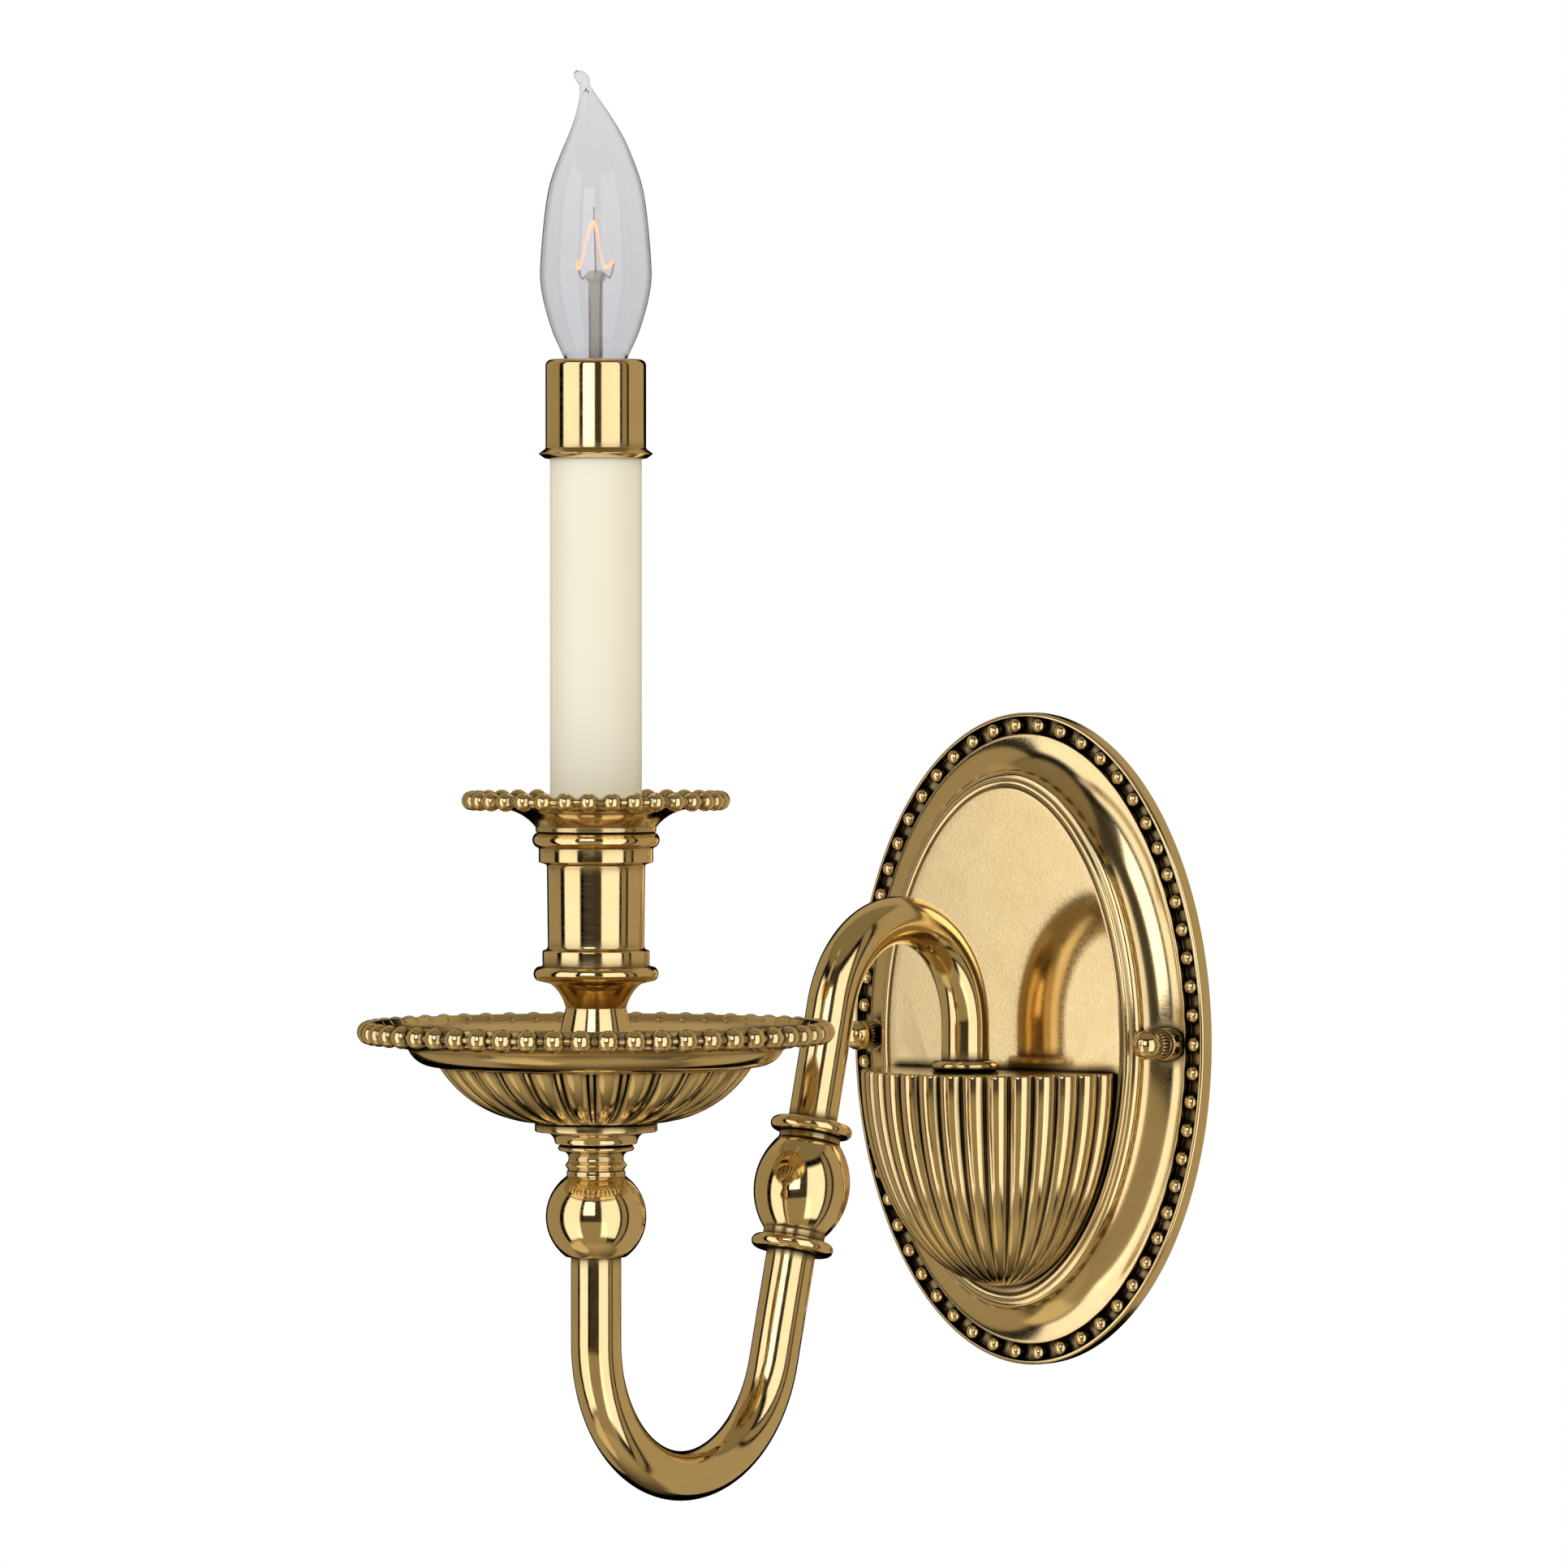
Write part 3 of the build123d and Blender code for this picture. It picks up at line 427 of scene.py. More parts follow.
def wire_with_painted_glow():
    """Coiled filament wire, with a faint warm painted glow in place of the orange glints it catches."""
    # Painted glow: the emission makes the unlit filament shine orange.
    material, tree, shader = blank_material(
        "filament_metal", Metallic=1.0, Emission_Color=(1.0, 0.30, 0.14, 1), Emission_Strength=2.0
    )
    grain = stretched_noise(tree, (1, 1, 1), 3000.0)
    tone = mixed(tree, grain, (0.95, 0.55, 0.30, 1), (0.55, 0.22, 0.08, 1))
    tree.links.new(tone, shader.inputs["Base Color"])
    tree.links.new(ranged(tree, grain, 0.3, 0.7, 0.3, 0.5), shader.inputs["Roughness"])
    return material


turned_brass = antique_brass("turned_brass", (0.15, 0.15, 1.0), 0.000004, 0.06)
drawn_brass = antique_brass("drawn_brass", (1.0, 0.25, 0.25), 0.000003, 0.07)
cast_brass = antique_brass("cast_brass", (1.0, 1.0, 1.0), 0.000006, 0.10)

finishes = {
    "antique_brass": cast_brass,
    "ivory_sleeve": ivory(),
    "lamp_glass": clear_glass(),
    "base_brass": plain_metal(
        "base_brass", (0.80, 0.66, 0.40, 1), (0.62, 0.48, 0.26, 1), 0.2, (1, 1, 8)
    ),
    "contact_brass": plain_metal(
        "contact_brass", (0.75, 0.58, 0.32, 1), (0.55, 0.40, 0.2, 1), 0.28
    ),
    "black_glass": moulded("black_glass", (0.02, 0.02, 0.024, 1), (0.03, 0.03, 0.035, 1), 0.08),
    "solder": plain_metal("solder", (0.62, 0.62, 0.60, 1), (0.42, 0.42, 0.42, 1), 0.38),
    "wire_metal": plain_metal("wire_metal", (0.62, 0.58, 0.54, 1), (0.4, 0.37, 0.34, 1), 0.25),
    "filament_metal": wire_with_painted_glow(),
    "zinc_steel": plain_metal("zinc_steel", (0.68, 0.68, 0.65, 1), (0.50, 0.52, 0.53, 1), 0.30),
    "green_screw": moulded("green_screw", (0.04, 0.28, 0.10, 1), (0.06, 0.36, 0.14, 1), 0.3),
    "holder_phenolic": moulded(
        "holder_phenolic", (0.045, 0.04, 0.036, 1), (0.07, 0.06, 0.052, 1), 0.42
    ),
    "lead_white": moulded("lead_white", (0.82, 0.82, 0.78, 1), (0.74, 0.74, 0.69, 1), 0.4),
    "lead_black": moulded("lead_black", (0.02, 0.02, 0.02, 1), (0.035, 0.035, 0.035, 1), 0.4),
    "connector_plastic": moulded(
        "connector_plastic", (0.78, 0.30, 0.05, 1), (0.68, 0.24, 0.04, 1), 0.35
    ),
}

for part in frame["record"]["subparts"]:
    for holder in frame["nodes"][part["node"]].material_slots:
        holder.link = "OBJECT"
        holder.material = finishes[part["material_slot"]]


# ---- backplate -------------------------------------------------------------------------
rim_front = 4.3
groove_outer = 1.0
groove_inner = 5.8
groove_front = 1.8
lip_inner = 6.6
lip_front = 4.5
cove_inner = 15.6
cove_front = 9.8
ridge_middle = 17.9
ridge_inner = 20.0
flat_inset = 23.0
plate_bead_radius = 2.2
plate_bead_inset = 3.35
plate_bead_front = 3.2
plate_bead_count = 58
plate_steps = 360
wire_hole = (0.0, -34.0, 4.5)
screw_holes = [(-25.0, -14.0, 1.8), (25.0, -14.0, 1.8)]


def plate_place(turn, inset, front):
    """Points on the plate, drawn in from its oval edge and out from the wall."""
    across, up = plate_half_width * np.cos(turn), plate_half_height * np.sin(turn)
    normal_x, normal_z = plate_half_height * np.cos(turn), plate_half_width * np.sin(turn)
    length = np.hypot(normal_x, normal_z)
    x = across - normal_x / length * inset
    z = up - normal_z / length * inset
    return np.stack([x, front * -1.0 + 0 * x, z], axis=-1)


def plate_border():
    """The plate's mouldings, from the back of its field round the rim to the front."""
    outline = [
        (flat_inset, field_front - field_wall),
        (ridge_inner, field_front - field_wall),
        (cove_inner + 2.2, field_front - 3.6),
        (cove_inner - 0.2, cove_front - 1.6),
        (11.0, 4.7),
        (lip_inner + 0.4, lip_front - 1.4),
        (lip_inner + 0.1, groove_front - 1.0),
        (1.2, groove_front - 1.0),
        (1.2, 0.0),
        (0.0, 0.0),
        (0.0, rim_front - 0.8),
        Arc((0.25, rim_front - 0.25), (0.8, rim_front)),
        (groove_outer, rim_front),
        (groove_outer + 0.1, groove_front),
        (groove_inner - 0.1, groove_front),
        (groove_inner, lip_front),
        (lip_inner, lip_front),
        Arc((11.5, 6.3), (cove_inner, cove_front)),
        (cove_inner, 11.2),
        Arc((16.2, 12.7), (ridge_middle, 13.3)),
        Arc((18.7, 14.1), (ridge_inner, 13.7)),
        (ridge_inner + 0.5, field_front),
        (flat_inset, field_front),
    ]
    points = trace(outline, 0.3)
    turn = np.linspace(0, 2 * pi, plate_steps, endpoint=False)[None, :]
    return Grid(plate_place(turn, points[:, :1], points[:, 1:]), columns_close=True)


def plate_beads():
    """The ring of beads, evenly spaced along the groove."""
    turn = np.linspace(0, 2 * pi, 4 * plate_steps)
    line = plate_place(turn, plate_bead_inset, plate_bead_front)
    steps = np.linalg.norm(np.diff(line, axis=0), axis=1)
    length = np.concatenate([[0], np.cumsum(steps)])
    for i in range(plate_bead_count):
        at = np.interp(length[-1] * i / plate_bead_count, length, turn)
        yield ball(plate_place(at, plate_bead_inset, plate_bead_front), plate_bead_radius)


def plate_field(work):
    """The flat field's front and back faces, with the holes that pass through it."""
    around = np.linspace(0, 2 * pi, plate_steps + 1)[:-1]
    rings = [[tuple(p) for p in plate_place(around, flat_inset, 0)]]
    for x, z, radius in [wire_hole, *screw_holes]:
        turn = np.linspace(0, 2 * pi, 32, endpoint=False)
        rings.append([(x + radius * cos(t), 0.0, z + radius * sin(t)) for t in turn])
    loops = {}
    for front in (field_front, field_front - field_wall):
        edges = []
        for number, ring in enumerate(rings):
            corners = [work.verts.new((x, -front, z)) for x, _, z in ring]
            pairs = zip(corners, corners[1:] + corners[:1])
            edges += [work.edges.new(pair) for pair in pairs]
            loops[front, number] = corners
        bmesh.ops.triangle_fill(work, edges=edges, use_beauty=True)
    for number in range(1, len(rings)):
        outer = loops[field_front, number]
        inner = loops[field_front - field_wall, number]
        for i in range(len(outer)):
            work.faces.new((outer[i - 1], outer[i], inner[i], inner[i - 1]))


def nut_place(side):
    """The frame of a canopy stud: height runs out from the wall."""
    return Matrix.Translation((side * nut_x, 0, 0)) @ Matrix.Rotation(pi / 2, 4, "X")


def moved(grid, place):
    """A grid carried to another place."""
    points = grid.points @ np.array(place.to_3x3()).T + np.array(place.translation)
    return Grid(points, grid.rows_close, grid.columns_close)


def seat_pad():
    """The small flat seat under a ball nut's washer."""
    return turned(trace([(0, 5.0), (4.6, 5.0), (4.3, stud_seat_front), (0, stud_seat_front)], 0.4))


pads = [moved(seat_pad(), nut_place(side)) for side in (-1, 1)]
piece(
    "oval_backplate", [plate_border(), *plate_beads(), *pads], "backplate", cast_brass,
    "fixture", extra=plate_field,
)

# ---- ball nuts and washers -------------------------------------------------------------
knurl_foot = 9.8
knurl_top = 13.4
knurl_count = 24
nut_bore = 2.13
washer_bore = 2.2
washer_radius = 3.8
washer_gap = 0.02


def knurled_nut():
    """A ball on a knurled neck, bored for its stud."""
    outline = [
        (nut_bore, knurl_foot),
        (3.7, knurl_foot),
        (3.9, knurl_foot + 0.3),
        (3.9, knurl_top - 0.8),
        (3.5, knurl_top - 0.4),
        (3.2, 13.1),
        Arc((4.0, 15.5), (0.0, 19.5)),
        (0.0, 16.8),
        (nut_bore, 16.8),
        (nut_bore, knurl_foot),
    ]
    points = trace(outline, 0.2, 28)
    angles = np.linspace(0, 2 * pi, knurl_count * 12, endpoint=False)
    on_neck = (points[:, 1] > knurl_foot + 0.2) & (points[:, 1] < knurl_top - 0.5)
    on_neck &= points[:, 0] > 3.5
    groove = 0.35 * (0.5 + 0.5 * np.cos(knurl_count * angles)) ** 2
    return turned(points, angles=angles, recess=on_neck[:, None] * groove[None, :])


def nut_washer():
    """The plain washer under a ball nut, a hair thinner than the space it fills."""
    front = knurl_foot - washer_gap
    corners = [
        (washer_bore, stud_seat_front),
        (washer_radius, stud_seat_front),
        (washer_radius, front),
        (washer_bore, front),
        (washer_bore, stud_seat_front),
    ]
    return turned(trace(corners, 0.2))


for side, hand in ((-1, "left"), (1, "right")):
    piece(
        f"ball_nut_{hand}_turned", [knurled_nut()], f"ball_nut_{hand}", turned_brass,
        f"nut_{hand}", nut_place(side),
    )
    piece(
        f"nut_washer_{hand}_turned", [nut_washer()], f"nut_washer_{hand}", turned_brass,
        f"nut_travel_{hand}", nut_place(side),
    )

# ---- half bowl -------------------------------------------------------------------------
bowl_radius = 39.2
bowl_drop = 59.3
bowl_lobes = 18
bowl_groove = 2.0
bowl_wall = 1.5


def lobe_recess(share, roundness=0.93):
    """How far a round lobe falls away, from 0 on its crown to 1 at its edge."""
    full = 1 - sqrt(1 - roundness**2)
    return (1 - np.sqrt(1 - (roundness * share) ** 2)) / full


def bowl_shell():
    """The lobed outside of the half bowl and its flat lid, as one open surface."""
    crest = np.concatenate(
        [np.linspace(-1, -0.8, 5), np.linspace(-0.7, 0.7, 15), np.linspace(0.8, 1, 5)]
    )
    turn, recess = [], []
    for lobe in range(bowl_lobes):
        for share in crest[1 if lobe else 0:]:
            turn.append(pi * (lobe + 0.5 + share / 2) / bowl_lobes)
            recess.append(bowl_groove * lobe_recess(abs(share)))
    turn, recess = np.array(turn)[None, :], np.array(recess)[None, :]
    lid = high("wall_bowl").z
    rows = []
    for share in (0.02, 0.5, 0.9, 0.97):
        rows.append((share, 0.0))
    for t in np.linspace(0, pi / 2, 7):
        rows.append((0.985 + 0.015 * sin(t), 0.8 * (1 - cos(t))))
    fall = [(cos(t), bowl_drop * sin(t)) for t in np.linspace(0.02, pi / 2, 60)]
    rows += [(share, drop) for share, drop in fall if drop > 0.9]
    share = np.array([r[0] for r in rows])[:, None]
    drop = np.array([r[1] for r in rows])[:, None]
    radius = share * (bowl_radius - recess)
    surface = [radius * np.cos(turn), -field_front - radius * np.sin(turn), lid - drop + 0 * turn]
    return Grid(np.stack(surface, axis=-1))


bowl = piece(
    "fluted_half_bowl", [bowl_shell()], "wall_bowl", cast_brass, "fixture"
)
thickness = bowl.modifiers.new("wall", "SOLIDIFY")
thickness.thickness = bowl_wall * MM
thickness.offset = -1
bowl.modifiers.move(1, 0)

# ---- arm -------------------------------------------------------------------------------
lower_bend_z = low("arm_lower").z + lower_bend_radius + tube_radius
upper_bend_z = high("arm_upper").z - upper_bend_radius - tube_radius
run_way = np.array([0, sin(run_lean), cos(run_lean)])
run_start = np.array([0, candle_y + lower_bend_radius * (1 + cos(run_lean)), 0.0])
run_start[2] = lower_bend_z - lower_bend_radius * sin(run_lean)


def bend(centre_y, centre_z, radius, start, end, steps=64):
    """Points round a bend in the plane of the arm, by angles from +Y towards +Z."""
    return [
        (0.0, centre_y + radius * cos(t), centre_z + radius * sin(t))
        for t in np.linspace(start, end, steps)
    ]


def straight(start, end, steps=12):
    """Points along a straight stretch, without its start and its end."""
    shares = np.linspace(0, 1, steps)[1:-1, None]
    return [tuple(p) for p in np.array(start) * (1 - shares) + np.array(end) * shares]


lower_top = (0.0, candle_y, low("arm_ball").z + 5.0)
lower_bend = bend(
    candle_y + lower_bend_radius, lower_bend_z, lower_bend_radius, pi, 2 * pi - run_lean
)
knop_centre = run_start + knop_at * run_way
lower_path = [lower_top, *straight(lower_top, lower_bend[0]), *lower_bend]
lower_path += [*straight(lower_bend[-1], knop_centre), tuple(knop_centre)]
upper_bend = bend(
    collar_y - upper_bend_radius, upper_bend_z, upper_bend_radius, pi - run_lean, 0
)
bowl_top = (0.0, collar_y, high("wall_bowl").z - 1.0)
upper_path = [tuple(knop_centre), *straight(knop_centre, upper_bend[0]), *upper_bend]
upper_path += [*straight(upper_bend[-1], bowl_top, 4), bowl_top]

for name, path in (("arm_lower", lower_path), ("arm_upper", upper_path)):
    tube = swept(path, tube_radius, (1, 0, 0), tube_bore, 64)
    piece(f"{name}_tube", [tube], name, drawn_brass, "fixture")

ring_half = 1.55
ring_reach = 9.15
collar = [
    (tube_clear, 0),
    (ring_reach - ring_half, 0),
    Arc((ring_reach, ring_half), (ring_reach - ring_half, 2 * ring_half)),
    (tube_clear, 2 * ring_half),
    (tube_clear, 0),
]
piece(
    "arm_collar_ring", [turned(trace(collar), low("arm_collar").z)], "arm_collar", turned_brass,
    "fixture", Matrix.Translation((0, collar_y, 0)),
)

knop_half = 14.2
knop_belly = knop_half - 1.8   # half length of the barrel's swell
knop_radius = 12.75
knop_end_radius = 8.2
knop_ring_half = 1.75
knop_ring_reach = 10.95
knop_place = Matrix.Translation(Vector(knop_centre)) @ Matrix.Rotation(-run_lean, 4, "X")
barrel = [
    (tube_clear, -knop_half),
    (knop_end_radius, -knop_half),
    (knop_end_radius, -knop_belly),
    Arc((knop_radius, 0), (knop_end_radius, knop_belly)),
    (knop_end_radius, knop_half),
    (tube_clear, knop_half),
    (tube_clear, -knop_half),
]
piece(
    "arm_knop_barrel", [turned(trace(barrel, 0.3, 40))], "knop_barrel", turned_brass,
    "fixture", knop_place,
)


def knop_ring(middle):
    """A half-round ring at one end of the knop."""
    flat = knop_ring_reach - knop_ring_half
    outline = [
        (tube_clear, middle - knop_ring_half),
        (flat, middle - knop_ring_half),
        Arc((knop_ring_reach, middle), (flat, middle + knop_ring_half)),
        (tube_clear, middle + knop_ring_half),
        (tube_clear, middle - knop_ring_half),
    ]
    return turned(trace(outline, 0.3, 20))


ring_at = knop_half + knop_ring_half + 0.02
piece(
    "arm_knop_rings", [knop_ring(-ring_at), knop_ring(ring_at)], "knop_rings", turned_brass,
    "fixture", knop_place,
)

# ---- candle column ---------------------------------------------------------------------
sleeve_radius = 11.85
cup_bore = 11.95
column_outlines = {
    "arm_ball": [
        (tube_clear, 0),
        (7.8, 0),
        Arc((13.0, 10.4), (7.6, 20.95)),
        (7.6, 22.3),
        (pipe_clear, 22.3),
        (pipe_clear, 6.25),
        (tube_clear, 6.25),
        (tube_clear, 0),
    ],
    "neck": [
        (pipe_clear, 0),
        (7.3, 0),
        (7.4, 0.5),
        (8.05, 1.4),
        (7.45, 2.2),
        Arc((7.15, 3.5), (8.2, 4.9)),
        (9.6, 5.2),
        (9.95, 5.8),
        (9.6, 6.5),
        (9.0, 6.9),
        (pipe_clear, 6.9),
        (pipe_clear, 0),
    ],
    "pan_seat": [
        (pipe_clear, 0),
        (10.5, 0),
        (10.7, 0.6),
        Arc((11.1, 1.7), (12.1, 2.7)),
        (12.4, 3.1),
        (15.5, 3.15),
        (15.85, 3.45),
        (15.85, 5.2),
        (15.5, 5.5),
        (pipe_clear, 5.5),
        (pipe_clear, 0),
    ],
    "candle_cup": [
        (pipe_clear, 0),
        (13.0, 0),
        (13.0, 2.0),
        Arc((10.2, 17.6), (7.85, 27.7)),
        Arc((8.6, 30.0), (11.75, 34.0)),
        (13.4, 34.4),
        (15.2, 34.8),
        Arc((16.15, 36.6), (15.2, 38.3)),
        (13.85, 38.6),
        (13.85, 42.5),
        (12.7, 43.0),
        (12.45, 43.6),
        (12.7, 64.3),
        (12.9, 64.8),
        (14.8, 65.4),
        (14.8, 69.0),
        (15.4, 69.3),
        Arc((16.45, 71.2), (15.4, 73.0)),
        (15.1, 73.2),
        (cup_bore, 73.2),
        (cup_bore, 64.45),
        (pipe_clear, 64.45),
        (pipe_clear, 0),
    ],
}
for name, outline in column_outlines.items():
    surface = turned(trace(outline, 0.3, 32), low(name).z)
    piece(f"{name}_turned", [surface], name, turned_brass, "fixture", column)

# ---- drip pan --------------------------------------------------------------------------
pan_bead_circle = 58.8
pan_bead_radius = 2.95
pan_bead_count = 54
pan_bead_height = 23.4
pan_lobes = 28
pan_groove = 2.1
lobe_top_radius = 40.5
strip_half = 0.065          # half width of the raised strip in a groove, in pitches
crease = 0.085              # where the strip meets the lobe, in pitches


def pan_angles():
    """Angles round the pan and how far each one lies in a groove, from 0 to 1."""
    from_groove = [0.0, 0.04, strip_half, crease, 0.10, 0.125, 0.16, 0.21, 0.27, 0.34, 0.42]
    depth = []
    for share in from_groove:
        lobe = lobe_recess((0.5 - max(share, crease)) / (0.5 - crease))
        depth.append(0.62 if share <= strip_half else lobe)
    side = list(zip(from_groove, depth))
    pitch = [(-s, d) for s, d in side[:0:-1]] + side + [(0.5, 0.0)]
    angles, recess = [], []
    for lobe in range(pan_lobes):
        for share, sunk in pitch:
            angles.append(2 * pi * (lobe + share) / pan_lobes)
            recess.append(sunk)
    return np.array(angles), np.array(recess)


def drip_pan():
    """The pan's turned body, with round lobes under its bowl."""
    outline = [
        (pipe_clear, 0),
        (15.3, 0),
        Arc((31.0, 4.9), (lobe_top_radius, 14.4)),
        (41.2, 14.7),
        Arc((46.6, 16.4), (48.6, 19.1)),
        (56.4, 20.9),
        (58.6, 21.4),
        (58.9, 24.1),
        (58.2, 25.9),
        (57.2, 25.9),
        (55.8, 24.0),
        (49.5, 21.7),
        Arc((45.0, 18.7), (39.6, 17.1)),
        Arc((30.4, 7.1), (15.6, 1.9)),
        (pipe_clear, 1.9),
        (pipe_clear, 0),
    ]
    points = trace(outline, 0.3, 40)
    angles, recess = pan_angles()
    radius, height = points.T
    under = (np.arange(len(points)) < np.argmax(radius)) & (radius <= lobe_top_radius)
    rise = np.clip((radius - 17.5) / 4.0, 0, 1)
    depth = under * rise * pan_groove * (0.35 + 0.65 * radius / lobe_top_radius)
    return turned(points, angles=angles, recess=depth[:, None] * recess[None, :])


bead_rod_radius = 1.0


def bead_ring(circle, radius, count, height, rod):
    """A ring of beads on a thin rod, at a height above the pan's foot."""
    turn = np.linspace(0, 2 * pi, 40, endpoint=False)[:-1]
    section = np.stack([circle + rod * np.cos(turn), height + rod * np.sin(turn)], axis=1)
    grids = [turned(np.vstack([section, section[:1]]))]
    for i in range(count):
        at = 2 * pi * i / count
        grids.append(ball((circle * cos(at), circle * sin(at), height), radius))
    return grids


def lifted(grids, height):
    """Grids raised to a height."""
    return [moved(grid, Matrix.Translation((0, 0, height))) for grid in grids]


pan_rim = bead_ring(
    pan_bead_circle, pan_bead_radius, pan_bead_count, pan_bead_height, bead_rod_radius
)
piece(
    "drip_pan_fluted", lifted([drip_pan(), *pan_rim], low("drip_pan").z), "drip_pan", cast_brass,
    "fixture", column,
)

# ---- bobeche ---------------------------------------------------------------------------
bobeche_bead_circle = 32.2
bobeche_bead_radius = 2.5
bobeche_bead_count = 34
bobeche_bead_height = 8.1
bobeche_outline = [
    (cup_bore, 0),
    (15.6, 0),
    (15.6, 1.2),
    Arc((18.6, 4.0), (25.2, 6.0)),
    (31.6, 6.5),
    (32.6, 6.9),
    (32.6, 8.6),
    (31.4, 9.3),
    (29.5, 8.7),
    Arc((20.5, 6.7), (14.6, 3.4)),
    (cup_bore, 2.4),
    (cup_bore, 0),
]
bobeche_rim = bead_ring(
    bobeche_bead_circle, bobeche_bead_radius, bobeche_bead_count, bobeche_bead_height,
    bead_rod_radius,
)
body = turned(trace(bobeche_outline, 0.3, 24))
piece(
    "bobeche_beaded", lifted([body, *bobeche_rim], low("bobeche").z), "bobeche", cast_brass,
    "fixture", column,
)

# ---- sleeve and cap --------------------------------------------------------------------
sleeve_length = high("candle_sleeve").z - low("candle_sleeve").z
sleeve_outline = [
    (10.7, 0),
    (sleeve_radius, 0),
    (sleeve_radius, sleeve_length),
    (10.7, sleeve_length),
    (10.7, 0),
]
piece(
    "candle_sleeve_ivory", [turned(trace(sleeve_outline), low("candle_sleeve").z)],
    "candle_sleeve", finishes["ivory_sleeve"], "candle_cover", column,
)

cap_outline = [
    (11.9, 0),
    (13.2, 0.15),
    (14.84, 1.35),
    (13.2, 2.55),
    (13.0, 2.8),
    (13.0, 24.0),
    Arc((12.5, 25.2), (11.3, 25.65)),
    (8.95, 25.8),
    (8.95, 24.7),
    (10.7, 24.7),
    (10.7, 22.1),
    (11.9, 22.1),
    (11.9, 0),
]
piece(
    "sleeve_cap_turned", [turned(trace(cap_outline, 0.3), low("sleeve_cap").z)], "sleeve_cap",
    turned_brass, "candle_cover", column,
)

# ---- lamp ------------------------------------------------------------------------------
glass_wall = 0.6
tip_lean = 3.6
tip_heading = radians(219.2)
tip_height = 85.5
tip_radius = 1.9
lean_start = 68.0           # height where the glass starts to bend towards its tip
glass_outline = [
    (5.2, 0), (5.3, 4.1), (6.3, 7.0), (8.2, 13.2), (11.4, 20.6), (13.9, 29.9), (14.3, 37.9),
    (12.5, 55.2), (9.2, 65.6), (4.6, 75.6), (2.3, 80.6), (1.35, 83.4),
]


def smooth_line(points, steps=10):
    """A smooth curve through points."""
    points = np.array(points, float)
    padded = np.vstack([2 * points[0] - points[1], points, 2 * points[-1] - points[-2]])
    line = []
    for a, b, c, d in zip(padded, padded[1:], padded[2:], padded[3:]):
        for t in np.linspace(0, 1, steps, endpoint=False):
            line.append(
                0.5 * (2 * b + (c - a) * t + (2 * a - 5 * b + 4 * c - d) * t * t
                       + (3 * b - a - 3 * c + d) * t**3)
            )
    line.append(points[-1])
    return np.array(line)


def leaned(grid, foot):
    """The glass bent over towards its tip."""
    points = grid.points.copy()
    share = np.clip((points[..., 2] - foot - lean_start) / (tip_height - lean_start), 0, 1.2)
    shift = tip_lean * share**2
    points[..., 0] += shift * cos(tip_heading)
    points[..., 1] += shift * sin(tip_heading)
    return Grid(points, grid.rows_close, grid.columns_close)


glass_foot = low("lamp_glass").z
outside = smooth_line(glass_outline)
nub_start = acos(min(1.35 / tip_radius, 1.0))
nub = [
    (tip_radius * cos(t), tip_height + tip_radius * sin(t))
    for t in np.linspace(-nub_start, pi / 2, 20)
]
inside = outside[outside[:, 1] < 81.0] - np.array([glass_wall, 0])
hollow_top = (0.0, inside[-1][1] + 1.8)
glass_line = np.vstack([outside, nub[1:], [hollow_top], inside[::-1], outside[:1]])
piece(
    "lamp_glass_envelope", [leaned(turned(glass_line, glass_foot), glass_foot)], "lamp_glass",
    finishes["lamp_glass"], "lamp", column,
)

thread_pitch = 2.54
thread_depth = 0.5
shell_foot = low("lamp_shell").z
shell_height = high("lamp_shell").z - shell_foot
shell_radius = high("lamp_shell").x


def lamp_base():
    """The rolled screw shell, with a plain collar above its thread."""
    heights = np.linspace(0, shell_height, 150)
    angles = np.linspace(0, 2 * pi, 96, endpoint=False)
    outer = np.stack([np.full_like(heights, shell_radius), heights], axis=1)
    turns = heights[:, None] / thread_pitch - angles[None, :] / (2 * pi)
    wave = 0.5 - 0.5 * np.cos(2 * pi * turns)
    fade = np.clip(heights / 1.5, 0, 1) * np.clip((shell_height - 2.5 - heights) / 1.5, 0, 1)
    skin = turned(outer, shell_foot, angles, thread_depth * wave * fade[:, None])
    inner = turned(outer[::-1] - np.array([0.62, 0]), shell_foot, angles)
    return Grid(np.concatenate([skin.points, inner.points]), True, True)


piece(
    "lamp_screw_shell", [lamp_base()], "lamp_shell", finishes["base_brass"], "lamp",
    column,
)

stem_foot = low("lamp_stem").z
stem_top = high("lamp_stem").z
stem_height = stem_top - stem_foot
stem_outline = [
    (0, 0),
    (4.1, 0),
    Arc((3.6, 3.4), (1.7, 6.4)),
    Arc((1.3, 8.4), (1.8, 10.0)),
    (1.9, stem_height - 3.2),
    Arc((2.6, stem_height - 1.5), (1.9, stem_height - 0.2)),
    (0, stem_height),
]
piece(
    "lamp_glass_stem", [turned(trace(stem_outline, 1.0), stem_foot)], "lamp_stem",
    pressed_glass(), "lamp", column,
)

filament_z = high("lamp_filament").z + 3.6
filament_drop = 10.2        # how far the coil hangs down from its middle hook
support_reach = high("lamp_supports").x + 0.9


def support(side):
    """A bent support wire, from the stem out to the filament's end."""
    points = [
        (side * 1.4, 0, stem_foot + 8.0),
        (side * 1.7, 0, stem_top - 3.0),
        (side * support_reach * 0.72, 0, filament_z - filament_drop - 4.0),
        (side * (support_reach - 0.4), 0, filament_z - filament_drop),
    ]
    return swept(smooth_line(points, 8), 0.26, (0, 1, 0), steps=12)


hook_points = [(0, 0, stem_top - 1), (0, -0.5, filament_z - 3), (0, -0.8, filament_z + 4.0)]
hook = swept(smooth_line(hook_points, 8), 0.2, (1, 0, 0), steps=10)
piece(
    "lamp_support_wires", [support(-1), support(1), hook], "lamp_supports",
    finishes["wire_metal"], "lamp", column,
)


